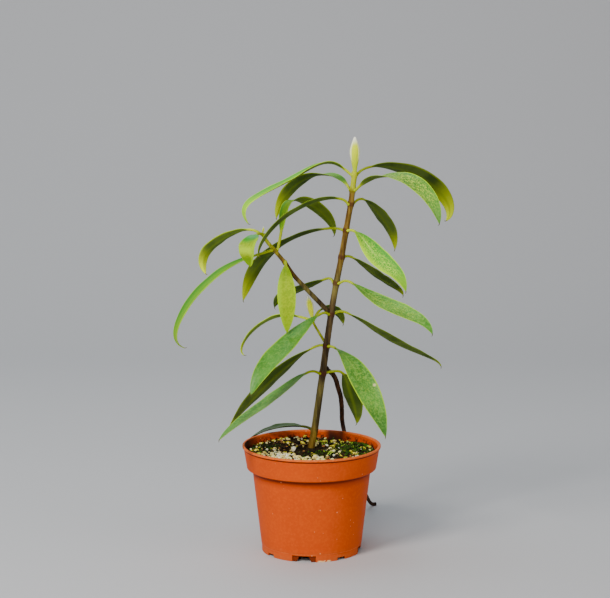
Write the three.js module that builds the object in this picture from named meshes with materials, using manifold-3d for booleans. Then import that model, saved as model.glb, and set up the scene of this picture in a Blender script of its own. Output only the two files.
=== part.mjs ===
// A clusia in a plastic nursery pot: the pot, its soil, the woody stem with a side branch, a young shoot,
// an aerial root, three buds and 25 arching leaves.
// Millimetres, +Z up. The origin is the centre of the pot's underside, +X is right, -Y faces the viewer.

import * as THREE from 'three';
import { mergeVertices } from 'three/addons/utils/BufferGeometryUtils.js';
import Module from 'manifold-3d';

const wasm = await Module();
wasm.setup();

// Driving dimensions of the pot
const POT_HEIGHT = 93;
const POT_SECTORS = 40;
const RIM_RADIUS = 60;
const COLLAR_TOP_RADIUS = 58.9;
const COLLAR_FOOT_RADIUS = 56;
const COLLAR_FOOT = 74;
const BODY_TOP_RADIUS = 51.2;
const BODY_TOP = 71;
const FOOT_RADIUS = 43.3;
const FOOT_BAND = 6.8;
const FOOT_RING = 2;
const BEAD_HEIGHT = 1.7;
const ROUNDING = 0.4;
const WALL = 1.3;
const FLOOR = 1.8;
const CHANNEL_HEIGHT = 5;
const CHANNEL_INNER_RADIUS = 26;
const NOTCHES = 8;
const FIRST_NOTCH = -99;
const LARGE_NOTCH = [13, 8.5, 4.8];
const SMALL_NOTCH = [8.5, 8, 2.6];
const NOTCH_RECESS = [21, 21, 5.4];
const RECESS_DEPTH = 1.3;
const DRAIN_HOLES = 8;
const DRAIN_RADIUS = 3.2;
const DRAIN_CIRCLE = 34;

// Soil, and the clearance that pieces keep where they touch
const GAP = 0.3;
const SOIL_LEVEL = 86.5;
const SOIL_SECTORS = 32;
const SOIL_MOUND = 1.5;
const SOIL_DIP = 2.2;
const DIP_PLACE = [24, 42];
const STEM_HOLE_DEPTH = 32;
const GRAINS = 40;
const GRAIN_SEED = 7;
const GRAIN_SIZE = 1.8;
const GRAIN_SPREAD = [18, 48];
const WHITE_CORNER = [195, 305];

// Centre line of the main stem: where it leaves the soil, then its nodes from the lowest to the top one
const STEM_LINE = [
  [-0.5, 8, 88],
  [2.6, 7, 104],
  [9.6, 4.5, 155],
  [12.8, 4, 179],
  [16.7, 3, 207],
  [21.1, 2, 234],
  [25.6, 1.5, 256.5],
  [29.3, 1, 279.5],
  [33.3, 0.5, 302],
  [34.7, 0, 314],
  [36.2, 0, 327],
];
const STEM_END = [36.5, 0, 329.5];
const STEM_FOOT_RADIUS = 3;
const STEM_TOP_RADIUS = 2.2;
const NODE_SWELLING = 0.5;
const STEM_SIDES = 10;
const STEM_RIBBING = 0.05;

// Centre lines of the side branch, the young shoot and the aerial root
const BRANCH_LINE = [
  [13.2, 1.9, 210.3],
  [7.1, -0.1, 217],
  [-4.2, -3.8, 229.3],
  [-15.5, -7.4, 242.2],
  [-22.7, -9.8, 253],
  [-31.5, -12.6, 264],
  [-38.4, -14.9, 272.7],
  [-41, -15.7, 278],
];
const BRANCH_RADII = [2.1, 1.5];
const SHOOT_LINE = [
  [10.5, 6.4, 183.2],
  [5.5, 10.5, 191],
  [1.7, 13.6, 197.3],
  [0.9, 14.4, 200],
];
const SHOOT_RADII = [1.2, 1];
const ROOT_LINE = [
  [12.6, 7.7, 158.4],
  [14.3, 12.5, 155.7],
  [18.2, 17.4, 151.8],
  [21.2, 19, 146.4],
  [22.9, 22, 139.6],
  [25.5, 28, 130],
  [26.8, 36, 117],
  [27.2, 45, 106],
  [28.6, 56, 95.6],
  [34, 80, 70],
  [43, 108, 41],
  [51.5, 131, 14.5],
  [55.3, 139, 5.4],
  [58, 142.3, 2.1],
  [61.5, 144, 1.7],
];
const ROOT_RADII = [2.1, 1.6];
const ROD_SIDES = 8;

// Leaf blades
const BLADE_EDGE = 0.6;
const BLADE_MIDDLE = 1.3;
const PETIOLE_WIDTH = 2.6;
const PETIOLE_DEPTH = 2.2;
const FOOT_RUN = 4;
const FLAT_WIDTH = 6;
const TIP_WIDTH = 0.8;
const TIP_THINNING = 8;
const CUPPING = 0.2;
const PETIOLE_STATIONS = [0, 0.3, 0.7];
const BLADE_STATIONS = [0, 0.06, 0.14, 0.25, 0.38, 0.52, 0.66, 0.79, 0.89, 0.96, 1];

// Each leaf: the place it grows from, the compass bearing it leaves in, its greatest width, the length of
// its petiole, four handles of its midrib as [out, up] from that place, and the turn of its blade about
// the midrib at the petiole, the middle and the tip, in degrees.
const LEAVES = [
  ['leaf_1_right', 'stem 1', 40, 19, 15, [[15, 13], [72, 10], [131, -31], [109, -47]], [-27, -28, -46]],
  ['leaf_1_left', 'stem 1', 200, 16, 7, [[41, 35], [36, -23], [116, -4], [95, -38]], [12, 3, -12]],
  ['leaf_2_right', 'stem 2', -35, 18, 6, [[17, 15], [52, 24], [81, 5], [86, -23]], [-29, 19, 25]],
  ['leaf_2_left', 'stem 2', 145, 16, 5, [[9, 16], [53, 23], [77, -11], [80, -29]], [-20, 17, 30]],
  ['leaf_3_right', 'stem 3', 50, 15, 14, [[25, 15], [38, -22], [60, -19], [62, -45]], [10, -5, 10]],
  ['leaf_3_left', 'stem 3', 210, 15, 11, [[8, 14], [69, 6], [93, -31], [89, -39]], [23, 31, 51]],
  ['leaf_4_right', 'stem 4', -50, 19, 8, [[22, 7], [40, -38], [60, -18], [75, -44]], [-6, 21, -4]],
  ['leaf_4_left', 'stem 4', 145, 17, 18, [[21, 6], [72, -14], [99, -29], [110, -70]], [23, 7, 70]],
  ['leaf_5_right', 'stem 5', 40, 15, 9, [[18, 3], [29, -21], [68, -31], [72, -40]], [2, -9, -15]],
  ['leaf_6_right', 'stem 6', -40, 18, 15, [[23, 14], [28, -26], [90, -10], [102, -33]], [-7, 19, 15]],
  ['leaf_6_left', 'stem 6', 140, 16, 12, [[10, 13], [23, -15], [65, -9], [70, -28]], [17, 16, 42]],
  ['leaf_7_right', 'stem 7', 40, 18, 16, [[25, 11], [62, -46], [122, -46], [132, -62]], [11, -6, 9]],
  ['leaf_7_left', 'stem 7', 220, 20, 11, [[16, 12], [54, -37], [70, -23], [88, -59]], [7, -16, -24]],
  ['leaf_8_right', 'stem 8', -52, 21, 8, [[24, 4], [52, -26], [66, -40], [79, -66]], [-29, 22, -9]],
  ['leaf_8_left', 'stem 8', 140, 19, 13, [[20, 1], [66, -39], [94, -65], [115, -90]], [-6, 14, -17]],
  ['leaf_9_left', 'stem 9', 215, 19, 14, [[22, 13], [36, -20], [78, -24], [106, -45]], [4, 5, 7]],
  ['leaf_9_right', 'stem 9', 28, 18, 17, [[32, 4], [15, -10], [35, -25], [34, -48]], [-22, -28, -7]],
  ['leaf_10_left', 'stem 10', 135, 14, 11, [[12, 5], [53, -5], [65, -10], [84, -22]], [6, -15, -18]],
  ['branch_leaf_front', 'branch 3', 240, 17, 9, [[8, 6], [30, -9], [28, -5], [21, -25]], [-3, 7, 9]],
  ['branch_leaf_left', 'branch 3', 160, 14, 12, [[18, 12], [34, -8], [64, -12], [53, -36]], [22, 25, 42]],
  ['branch_leaf_long', 'branch 2', 200, 15, 13, [[33, -8], [54, -7], [108, -68], [80, -79]], [-6, -5, -6]],
  ['branch_leaf_arching', 'branch 2', 40, 15, 16, [[17, 42], [-3, 60], [69, 31], [67, 8]], [16, -22, -33]],
  ['branch_leaf_hanging', 'branch 1', 278, 16, 6, [[7, 9], [6, -16], [10, -41], [12, -58]], [30, -5, -20]],
  ['shoot_leaf_left', 'shoot 1', 175, 12, 10, [[21, 5], [35, 13], [71, -23], [60, -32]], [30, 13, 12]],
  ['shoot_leaf_right', 'shoot 1', 30, 12, 9, [[8, 18], [25, 6], [27, 4], [31, -6]], [-33, -26, -13]],
];

// The places that leaves grow from, each with the distance from its middle to the foot of a leaf
const STEM_NODES = STEM_LINE.slice(1).reverse();
const SEAT_GAP = 0.35;
const LEAF_PLACES = {
  'branch 1': [BRANCH_LINE[4], 2],
  'branch 2': [BRANCH_LINE[5], 3.3],
  'branch 3': [BRANCH_LINE[7], 2],
  'shoot 1': [SHOOT_LINE[3], 1.7],
};

// Half the width of a bud, as a share of its greatest half width, at shares of its length
const BUD_OUTLINE = [
  [0, 0.36],
  [0.1, 0.43],
  [0.22, 0.59],
  [0.36, 0.8],
  [0.5, 0.96],
  [0.64, 0.91],
  [0.78, 0.65],
  [0.9, 0.39],
  [1, 0.14],
];
const BUD_SIDES = 10;

// Each bud: its foot, the direction it points in, its length, width and depth
const BUDS = [
  ['terminal_bud', [36.5, 0, 330], [0, 0, 1], 29, 9.4, 5.6],
  ['shoot_bud', [0.7, 14.6, 201.2], [-0.2, 0.17, 1], 20.2, 6.8, 4.6],
  ['branch_bud', [-41.4, -15.9, 278.4], [0.15, 0, 1], 6.5, 2.2, 1.8],
];

const plastic = new THREE.MeshStandardMaterial({ color: 0xcd5a26, roughness: 0.5, metalness: 0 });
const earth = new THREE.MeshStandardMaterial({ color: 0x2b2119, roughness: 0.95, metalness: 0 });
const bark = new THREE.MeshStandardMaterial({ color: 0x6e4f2a, roughness: 0.8, metalness: 0 });
const rootBark = new THREE.MeshStandardMaterial({ color: 0x2e1a10, roughness: 0.85, metalness: 0 });
const greenStem = new THREE.MeshStandardMaterial({ color: 0xa9b52c, roughness: 0.6, metalness: 0 });
const budSkin = new THREE.MeshStandardMaterial({ color: 0xe6f070, roughness: 0.5, metalness: 0 });
const leafSkin = new THREE.MeshStandardMaterial({ color: 0x5f9e3c, roughness: 0.4, metalness: 0 });

const object = new THREE.Group();

function addPiece(name, geometry, material) {
  const mesh = new THREE.Mesh(geometry, material);
  mesh.name = name;
  object.add(mesh);
}

function geometryFrom(points, triangles) {
  const geometry = new THREE.BufferGeometry();
  geometry.setAttribute('position', new THREE.Float32BufferAttribute(points.flatMap((p) => p.toArray()), 3));
  geometry.setIndex(triangles);
  return geometry;
}

// A closed skin over rings with the same number of points, with a point at the middle of each end ring.
function loft(rings) {
  const count = rings[0].length;
  const points = rings.flat();
  const triangles = [];
  for (let i = 0; i + 1 < rings.length; i += 1) {
    for (let j = 0; j < count; j += 1) {
      const a = i * count + j;
      const b = i * count + ((j + 1) % count);
      triangles.push(a, b, b + count, a, b + count, a + count);
    }
  }
  const middle = (ring) => ring.reduce((sum, p) => sum.add(p), new THREE.Vector3()).divideScalar(count);
  const foot = points.push(middle(rings[0])) - 1;
  const head = points.push(middle(rings[rings.length - 1])) - 1;
  const last = (rings.length - 1) * count;
  for (let j = 0; j < count; j += 1) {
    const next = (j + 1) % count;
    triangles.push(foot, next, j, head, last + j, last + next);
  }
  return geometryFrom(points, triangles);
}

function level(radius, height, sectors) {
  return Array.from({ length: sectors }, (_, j) => {
    const angle = (2 * Math.PI * j) / sectors;
    return new THREE.Vector3(radius * Math.cos(angle), radius * Math.sin(angle), height);
  });
}

function toManifold(geometry) {
  const bare = geometry.clone();
  bare.deleteAttribute('normal');
  bare.deleteAttribute('uv');
  const merged = mergeVertices(bare, 1e-4);
  return new wasm.Manifold(new wasm.Mesh({
    numProp: 3,
    vertProperties: new Float32Array(merged.attributes.position.array),
    triVerts: new Uint32Array(merged.index.array),
  }));
}

function fromManifold(solid) {
  const mesh = solid.getMesh();
  const geometry = new THREE.BufferGeometry();
  geometry.setAttribute('position', new THREE.BufferAttribute(new Float32Array(mesh.vertProperties), 3));
  geometry.setIndex(new THREE.BufferAttribute(new Uint32Array(mesh.triVerts), 1));
  return geometry;
}

// Pot: one turned wall with a collar and a foot band. The floor's middle stands on the ground, and a raised
// channel round it drains through holes and through notches in the foot.
const INNER_BODY_TOP = BODY_TOP_RADIUS - WALL;
const INNER_FOOT = FOOT_RADIUS - WALL;
const potProfile = [
  [CHANNEL_INNER_RADIUS - FOOT_RING, 0],
  [CHANNEL_INNER_RADIUS, CHANNEL_HEIGHT],
  [FOOT_RADIUS - FOOT_RING, CHANNEL_HEIGHT],
  [FOOT_RADIUS - FOOT_RING, 0],
  [FOOT_RADIUS - ROUNDING, 0],
  [FOOT_RADIUS, ROUNDING],
  [FOOT_RADIUS, FOOT_BAND - ROUNDING],
  [FOOT_RADIUS + ROUNDING, FOOT_BAND],
  [BODY_TOP_RADIUS, BODY_TOP],
  [COLLAR_FOOT_RADIUS - 2 * ROUNDING, COLLAR_FOOT - 2 * ROUNDING],
  [COLLAR_FOOT_RADIUS, COLLAR_FOOT],
  [COLLAR_TOP_RADIUS, POT_HEIGHT - BEAD_HEIGHT - ROUNDING],
  [RIM_RADIUS, POT_HEIGHT - BEAD_HEIGHT],
  [RIM_RADIUS, POT_HEIGHT - ROUNDING],
  [RIM_RADIUS - ROUNDING, POT_HEIGHT],
  [COLLAR_TOP_RADIUS - WALL, POT_HEIGHT - ROUNDING],
  [COLLAR_FOOT_RADIUS - WALL, COLLAR_FOOT + WALL],
  [INNER_BODY_TOP, BODY_TOP + WALL],
  [INNER_FOOT, CHANNEL_HEIGHT + FLOOR],
  [CHANNEL_INNER_RADIUS - ROUNDING, CHANNEL_HEIGHT + FLOOR],
  [CHANNEL_INNER_RADIUS - FOOT_RING - ROUNDING, FLOOR],
];
let pot = toManifold(loft(potProfile.map(([r, z]) => level(r, z, POT_SECTORS))));

// A block across the foot at a bearing, from under the pot up to a height, narrower at its top
function notchBlock(bearing, [width, topWidth, height], innerRadius) {
  const outline = new THREE.Shape([
    new THREE.Vector2(-width / 2, -1),
    new THREE.Vector2(width / 2, -1),
    new THREE.Vector2(topWidth / 2, height),
    new THREE.Vector2(-topWidth / 2, height),
  ]);
  const depth = 2 * FOOT_RING + FOOT_RADIUS - innerRadius;
  const block = new THREE.ExtrudeGeometry(outline, { depth, bevelEnabled: false, steps: 1 });
  block.rotateX(Math.PI / 2);
  block.translate(0, -innerRadius, 0);
  block.rotateZ(THREE.MathUtils.degToRad(bearing + 90));
  return toManifold(block);
}

for (let k = 0; k < NOTCHES; k += 1) {
  const bearing = FIRST_NOTCH + (360 / NOTCHES) * k;
  const large = k % 2 === 0;
  pot = pot.subtract(notchBlock(bearing, large ? LARGE_NOTCH : SMALL_NOTCH, FOOT_RADIUS - 2 * FOOT_RING));
  if (large) {
    pot = pot.subtract(notchBlock(bearing, NOTCH_RECESS, FOOT_RADIUS - RECESS_DEPTH));
  }
}
for (let k = 0; k < DRAIN_HOLES; k += 1) {
  const angle = THREE.MathUtils.degToRad(FIRST_NOTCH + (360 / DRAIN_HOLES) * k);
  const hole = new THREE.CylinderGeometry(DRAIN_RADIUS, DRAIN_RADIUS, 2 * CHANNEL_HEIGHT, 10);
  hole.rotateX(Math.PI / 2);
  hole.translate(DRAIN_CIRCLE * Math.cos(angle), DRAIN_CIRCLE * Math.sin(angle), CHANNEL_HEIGHT + 1);
  pot = pot.subtract(toManifold(hole));
}
addPiece('pot', fromManifold(pot), plastic);

// Soil: it fills the pot to a little below the rim, rises to the stem, dips at the back right and has a plain
// hole for the stem.
function soilHeight(x, y) {
  const fromStem = Math.hypot(x - STEM_LINE[0][0], y - STEM_LINE[0][1]);
  const mound = SOIL_MOUND * Math.exp(-((fromStem / 22) ** 2));
  const ripple = 0.7 * Math.sin(0.31 * x + 1) * Math.cos(0.27 * y) + 0.5 * Math.sin(0.53 * (x - y));
  const fromDip = Math.hypot(x - DIP_PLACE[0], y - DIP_PLACE[1]);
  const dip = SOIL_DIP * Math.exp(-((fromDip / 18) ** 2));
  return SOIL_LEVEL + mound + ripple - dip;
}

const holeRadius = STEM_FOOT_RADIUS + 2 * GAP;
const holeFloor = SOIL_LEVEL - STEM_HOLE_DEPTH;
const channelFloor = CHANNEL_HEIGHT + FLOOR + GAP;
const soilRings = [
  [CHANNEL_INNER_RADIUS - FOOT_RING - ROUNDING - 2 * GAP, FLOOR + GAP],
  [CHANNEL_INNER_RADIUS - ROUNDING - 2 * GAP, channelFloor],
  [INNER_FOOT - 2 * GAP, channelFloor],
  [INNER_BODY_TOP - 2 * GAP, BODY_TOP + WALL],
  [COLLAR_FOOT_RADIUS - WALL - 2 * GAP, COLLAR_FOOT + 2 * WALL],
].map(([r, z]) => level(r, z, SOIL_SECTORS));
const soilEdge = COLLAR_FOOT_RADIUS - WALL + 3 * GAP;
for (const share of [0, 0.1, 0.25, 0.42, 0.6, 0.78, 0.91, 1]) {
  const radius = THREE.MathUtils.lerp(soilEdge, holeRadius, share);
  soilRings.push(level(radius, 0, SOIL_SECTORS).map((p) => {
    p.x += STEM_LINE[0][0] * share;
    p.y += STEM_LINE[0][1] * share;
    p.z = soilHeight(p.x, p.y);
    return p;
  }));
}
soilRings.push(level(holeRadius, holeFloor, SOIL_SECTORS).map((p) => {
  p.x += STEM_LINE[0][0];
  p.y += STEM_LINE[0][1];
  return p;
}));
let soil = toManifold(loft(soilRings));

// The same draw of numbers from 0 to 1 each time
let draw = GRAIN_SEED;
function random() {
  draw = (draw * 1103515245 + 12345) % 2147483648;
  return draw / 2147483648;
}

// Perlite and bark grains, two in three of them at the front left, sunk into the soil
for (let k = 0; k < GRAINS; k += 1) {
  const [from, to] = k % 3 ? WHITE_CORNER : [0, 360];
  const bearing = THREE.MathUtils.degToRad(THREE.MathUtils.lerp(from, to, random()));
  const distance = THREE.MathUtils.lerp(...GRAIN_SPREAD, random());
  const size = GRAIN_SIZE * (1 + random() ** 2);
  const x = distance * Math.cos(bearing);
  const y = distance * Math.sin(bearing);
  const grain = new THREE.IcosahedronGeometry(size, 0);
  grain.rotateX(6 * random());
  grain.rotateZ(6 * random());
  grain.scale(1.1, 0.9, 0.8);
  grain.translate(x, y, soilHeight(x, y) - 0.1 * size);
  soil = soil.add(toManifold(grain));
}
addPiece('soil', fromManifold(soil), earth);

// Rings of points square to a line, each with its own radius and a slight lengthwise ribbing
function ringsAlong(line, radii, sides, ribs) {
  const up = new THREE.Vector3(0.2, 1, 0.1).normalize();
  return line.map((p, i) => {
    const before = line[Math.max(i - 1, 0)];
    const after = line[Math.min(i + 1, line.length - 1)];
    const along = after.clone().sub(before).normalize();
    const side = new THREE.Vector3().crossVectors(up, along).normalize();
    const other = new THREE.Vector3().crossVectors(along, side);
    return Array.from({ length: sides }, (_, j) => {
      const angle = (2 * Math.PI * j) / sides;
      const radius = radii[i] * (1 + ribs * Math.cos(2 * angle));
      return p.clone()
        .addScaledVector(side, radius * Math.cos(angle))
        .addScaledVector(other, radius * Math.sin(angle));
    });
  });
}

const vectors = (list) => list.map((p) => new THREE.Vector3(...p));

// Main stem: straight between its nodes, swollen at each, and upright where it stands in the soil
const [footX, footY] = STEM_LINE[0];
const straightTop = SOIL_LEVEL - 2 * STEM_FOOT_RADIUS;
const stemLine = vectors([[footX, footY, holeFloor + GAP], [footX, footY, straightTop]]);
const stemRadii = [STEM_FOOT_RADIUS, STEM_FOOT_RADIUS];
const stemRadiusAt = (z) => (
  THREE.MathUtils.mapLinear(z, SOIL_LEVEL, STEM_END[2], STEM_FOOT_RADIUS, STEM_TOP_RADIUS)
);
function addStemRing(middle, swelling) {
  stemLine.push(middle);
  stemRadii.push(stemRadiusAt(middle.z) + swelling);
}
vectors(STEM_LINE).forEach((node, i, nodes) => {
  if (i > 0) {
    addStemRing(nodes[i - 1].clone().lerp(node, 0.82), 0);
  }
  addStemRing(node, i > 0 ? NODE_SWELLING : 0);
  if (i > 0 && i + 1 < nodes.length) {
    addStemRing(node.clone().lerp(nodes[i + 1], 0.15), 0);
  }
});
addStemRing(new THREE.Vector3(...STEM_END), -GAP);
addPiece('main_stem', loft(ringsAlong(stemLine, stemRadii, STEM_SIDES, STEM_RIBBING)), bark);

// Side branch, young shoot and aerial root: tapering rods along smooth lines
function rod(places, radii, steps) {
  const curve = new THREE.CatmullRomCurve3(vectors(places), false, 'centripetal');
  const line = curve.getSpacedPoints(steps);
  const widths = line.map((_, i) => THREE.MathUtils.lerp(...radii, i / steps));
  return loft(ringsAlong(line, widths, ROD_SIDES, 0));
}

addPiece('side_branch', rod(BRANCH_LINE, BRANCH_RADII, 14), bark);
addPiece('side_shoot', rod(SHOOT_LINE, SHOOT_RADII, 5), greenStem);
addPiece('aerial_root', rod(ROOT_LINE, ROOT_RADII, 36), rootBark);

// A bud of two young leaves pressed together: a narrow neck, a long belly and a pointed tip
function bud(foot, direction, length, width, depth) {
  const along = new THREE.Vector3(...direction).normalize();
  const side = new THREE.Vector3(1, 0, 0).addScaledVector(along, -along.x).normalize();
  const other = new THREE.Vector3().crossVectors(along, side);
  return loft(BUD_OUTLINE.map(([share, swell]) => Array.from({ length: BUD_SIDES }, (_, j) => {
    const angle = (2 * Math.PI * j) / BUD_SIDES;
    return new THREE.Vector3(...foot)
      .addScaledVector(along, share * length)
      .addScaledVector(side, (swell * width * Math.cos(angle)) / 2)
      .addScaledVector(other, (swell * depth * Math.sin(angle)) / 2);
  })));
}

for (const [name, foot, direction, length, width, depth] of BUDS) {
  addPiece(name, bud(foot, direction, length, width, depth), budSkin);
}

// A point of the curve that a start and four handles shape, at a share of its run
function midribPoint(frame, t) {
  const weights = [
    (1 - t) ** 4,
    4 * t * (1 - t) ** 3,
    6 * t ** 2 * (1 - t) ** 2,
    4 * t ** 3 * (1 - t),
    t ** 4,
  ];
  const sum = new THREE.Vector2();
  frame.forEach((handle, k) => {
    sum.addScaledVector(handle, weights[k]);
  });
  return sum;
}

// Half the width of a blade at a share of its length, as a share of its greatest half width
const bladeOutline = (s) => 2.73 * s ** 0.7 * (1 - s) ** 0.75;

// The smooth value at a share of a run that has the given values at its start, middle and end
const threeWay = ([start, middle, end], s) => (
  start * (1 - s) * (1 - 2 * s) + 4 * middle * s * (1 - s) + end * s * (2 * s - 1)
);

// One leaf: a petiole and a blade as one skin. Its rings follow the midrib, each with five points on the
// upper face and the same five on the lower one.
const COLUMNS = [-1, -0.5, 0, 0.5, 1];
const MIDRIB_STEPS = 200;
function leaf(place, seat, azimuth, width, petiole, handles, turns) {
  const bearing = THREE.MathUtils.degToRad(azimuth);
  const outward = new THREE.Vector3(Math.cos(bearing), Math.sin(bearing), 0);
  const across = new THREE.Vector3(-Math.sin(bearing), Math.cos(bearing), 0);
  const frame = [new THREE.Vector2(seat, 0), ...handles.map((h) => new THREE.Vector2(...h))];
  const midrib = Array.from({ length: MIDRIB_STEPS + 1 }, (_, k) => midribPoint(frame, k / MIDRIB_STEPS));
  const run = [0];
  for (let k = 1; k <= MIDRIB_STEPS; k += 1) {
    run.push(run[k - 1] + midrib[k].distanceTo(midrib[k - 1]));
  }
  const total = run[MIDRIB_STEPS];
  const stations = [
    ...PETIOLE_STATIONS.map((share) => share * petiole),
    ...BLADE_STATIONS.map((share) => THREE.MathUtils.lerp(petiole, total, share)),
  ];
  const rings = stations.map((distance) => {
    const k = Math.max(run.findLastIndex((value) => value <= distance), 0);
    const step = midrib[Math.min(k + 1, MIDRIB_STEPS)].clone().sub(midrib[Math.max(k - 1, 0)]);
    const along = outward.clone().multiplyScalar(step.x).setZ(step.y).normalize();
    along.lerp(outward, Math.max(0, 1 - distance / FOOT_RUN)).normalize();
    const share = Math.max(0, (distance - petiole) / (total - petiole));
    const turn = THREE.MathUtils.degToRad(threeWay(turns, share)) * Math.min(1, distance / petiole);
    const side = across.clone().applyAxisAngle(along, turn);
    const face = new THREE.Vector3().crossVectors(along, side);
    const middle = new THREE.Vector3(...place).addScaledVector(outward, midrib[k].x);
    middle.z += midrib[k].y;

    const blade = (width / 2) * bladeOutline(share);
    const stalk = Math.max((PETIOLE_WIDTH / 2) * (1 - share) ** 6, (TIP_WIDTH / 2) * share);
    const half = Math.hypot(blade, stalk);
    const flat = share > 0.5 ? 1 : Math.min(1, (2 * blade) / FLAT_WIDTH);
    const ridge = (BLADE_MIDDLE - BLADE_EDGE) * Math.min(1, TIP_THINNING * (1 - share));
    const point = (u, sign) => {
      const bladeThickness = BLADE_EDGE + ridge * (1 - Math.abs(u)) ** 2;
      const stalkThickness = PETIOLE_DEPTH * Math.sqrt(1 - (0.93 * u) ** 2);
      const thickness = THREE.MathUtils.lerp(stalkThickness, bladeThickness, flat);
      return middle.clone()
        .addScaledVector(side, u * half)
        .addScaledVector(face, CUPPING * half * flat * u ** 2 + (sign * thickness) / 2);
    };
    return [...COLUMNS.map((u) => point(u, 1)), ...COLUMNS.map((u) => point(u, -1))];
  });

  const count = COLUMNS.length;
  const triangles = [];
  const top = (i, j) => 2 * count * i + j;
  const under = (i, j) => 2 * count * i + count + j;
  const addSquare = (a, b, c, d) => triangles.push(a, b, c, a, c, d);
  const end = rings.length - 1;
  for (let i = 0; i < end; i += 1) {
    for (let j = 0; j + 1 < count; j += 1) {
      addSquare(top(i, j), top(i + 1, j), top(i + 1, j + 1), top(i, j + 1));
      addSquare(under(i, j), under(i, j + 1), under(i + 1, j + 1), under(i + 1, j));
    }
    addSquare(top(i, count - 1), top(i + 1, count - 1), under(i + 1, count - 1), under(i, count - 1));
    addSquare(top(i, 0), under(i, 0), under(i + 1, 0), top(i + 1, 0));
  }
  for (let j = 0; j + 1 < count; j += 1) {
    addSquare(top(0, j), top(0, j + 1), under(0, j + 1), under(0, j));
    addSquare(top(end, j), under(end, j), under(end, j + 1), top(end, j + 1));
  }
  return geometryFrom(rings.flat(), triangles);
}

STEM_NODES.forEach((place, k) => {
  LEAF_PLACES[`stem ${k + 1}`] = [place, stemRadiusAt(place[2]) + NODE_SWELLING + SEAT_GAP];
});
for (const [name, node, azimuth, width, petiole, handles, turns] of LEAVES) {
  const [place, seat] = LEAF_PLACES[node];
  addPiece(name, leaf(place, seat, azimuth, width, petiole, handles, turns), leafSkin);
}

export default object;
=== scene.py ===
"""A young clusia in a thin terracotta-coloured nursery pot, dressed over its solid model. Metres, +Z up."""

import bpy
import numpy as np
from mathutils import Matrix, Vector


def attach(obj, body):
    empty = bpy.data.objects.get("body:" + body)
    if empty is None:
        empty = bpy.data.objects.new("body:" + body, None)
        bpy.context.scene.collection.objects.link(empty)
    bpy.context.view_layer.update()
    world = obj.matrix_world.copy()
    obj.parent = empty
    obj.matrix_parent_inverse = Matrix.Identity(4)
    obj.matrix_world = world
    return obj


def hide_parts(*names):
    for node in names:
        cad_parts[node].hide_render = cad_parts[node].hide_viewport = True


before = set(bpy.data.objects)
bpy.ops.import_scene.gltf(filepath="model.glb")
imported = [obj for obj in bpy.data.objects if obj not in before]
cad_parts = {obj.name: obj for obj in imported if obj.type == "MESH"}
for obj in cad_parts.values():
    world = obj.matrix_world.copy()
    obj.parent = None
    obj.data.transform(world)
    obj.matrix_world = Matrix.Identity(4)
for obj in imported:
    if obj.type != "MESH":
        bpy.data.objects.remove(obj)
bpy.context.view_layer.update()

# Viewpoint and studio. The lens looks slightly down on the plant from the front. A large soft light hangs at
# the front left, with weaker ones in front, at the right and above, and a pale sky fills the shadows.
VIEW_PLACE = (-0.0057, -1.605, 0.466)
VIEW_DOWN = np.radians(8.7)
VIEW_LENS = 111.9
LIGHT_AIM = (0, 0, 0.16)
LIGHTS = {
    "front_left_light": ((-1.1, -1.45, 1.6), 0.6, 42, (1, 0.97, 0.92)),
    "front_light": ((-0.4, -2.1, 1.2), 1.0, 19, (1, 0.97, 0.92)),
    "right_light": ((1.7, -0.9, 0.9), 0.9, 5, (1, 0.95, 0.95)),
    "overhead_light": ((-0.5, 0.5, 1.9), 1.2, 12, (0.7, 0.9, 1)),
}
SKY_TINT = (0.8, 0.82, 0.86)
SKY_STRENGTH = 0.36


def add_object(name, data):
    """A new object in the scene that holds the data."""
    added = bpy.data.objects.new(name, data)
    bpy.context.scene.collection.objects.link(added)
    return added


def feed(node, values):
    """Sets or links the inputs of a shader node, each by its name or number. Colours are three numbers."""
    for key, value in values.items():
        socket = node.inputs[key]
        if isinstance(value, bpy.types.NodeSocket):
            node.id_data.links.new(value, socket)
        else:
            socket.default_value = (*value, 1) if socket.type == "RGBA" else value


lens = bpy.data.cameras.new("viewpoint")
lens.lens = VIEW_LENS
viewpoint = add_object("viewpoint", lens)
viewpoint.location = VIEW_PLACE
viewpoint.rotation_euler = (np.pi / 2 - VIEW_DOWN, 0, 0)
bpy.context.scene.camera = viewpoint
for name, (place, size, watts, tint) in LIGHTS.items():
    lamp = bpy.data.lights.new(name, "AREA")
    lamp.size = size
    lamp.energy = watts
    lamp.color = tint
    holder = add_object(name, lamp)
    holder.location = place
    holder.rotation_euler = (Vector(LIGHT_AIM) - Vector(place)).to_track_quat("-Z", "Y").to_euler()
sky = bpy.data.worlds.new("studio")
sky.use_nodes = True
feed(sky.node_tree.nodes["Background"], {"Color": SKY_TINT, "Strength": SKY_STRENGTH})
bpy.context.scene.world = sky

# Floor: a sheet of pale paper that lies flat under the pot and bends up into a backdrop.
FLOOR_HALF_WIDTH = 3.0
FLOOR_FRONT = -2.6
BEND_START = 0.9
BEND_RADIUS = 1.1
BEND_STEPS = 25
BACKDROP_TOP = 3.0
PAPER_TONE = (0.56, 0.55, 0.56)


def sheet_faces(rows, columns, wrap):
    """The four-sided faces of a grid of points. With wrap, the last column is joined to the first."""
    across = np.arange(columns if wrap else columns - 1)
    row = np.arange(rows - 1)[:, None] * columns
    beside = (across + 1) % columns
    corners = [row + across, row + beside, row + columns + beside, row + columns + across]
    return np.stack(corners, -1).reshape(-1, 4).tolist()


def make_piece(name, points, faces, smooth=True):
    """An object whose mesh holds the points and faces. It sits at the origin."""
    mesh = bpy.data.meshes.new(name)
    mesh.from_pydata(np.asarray(points).reshape(-1, 3).tolist(), [], faces)
    mesh.polygons.foreach_set("use_smooth", np.full(len(mesh.polygons), smooth))
    mesh.update()
    return add_object(name, mesh)


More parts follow.
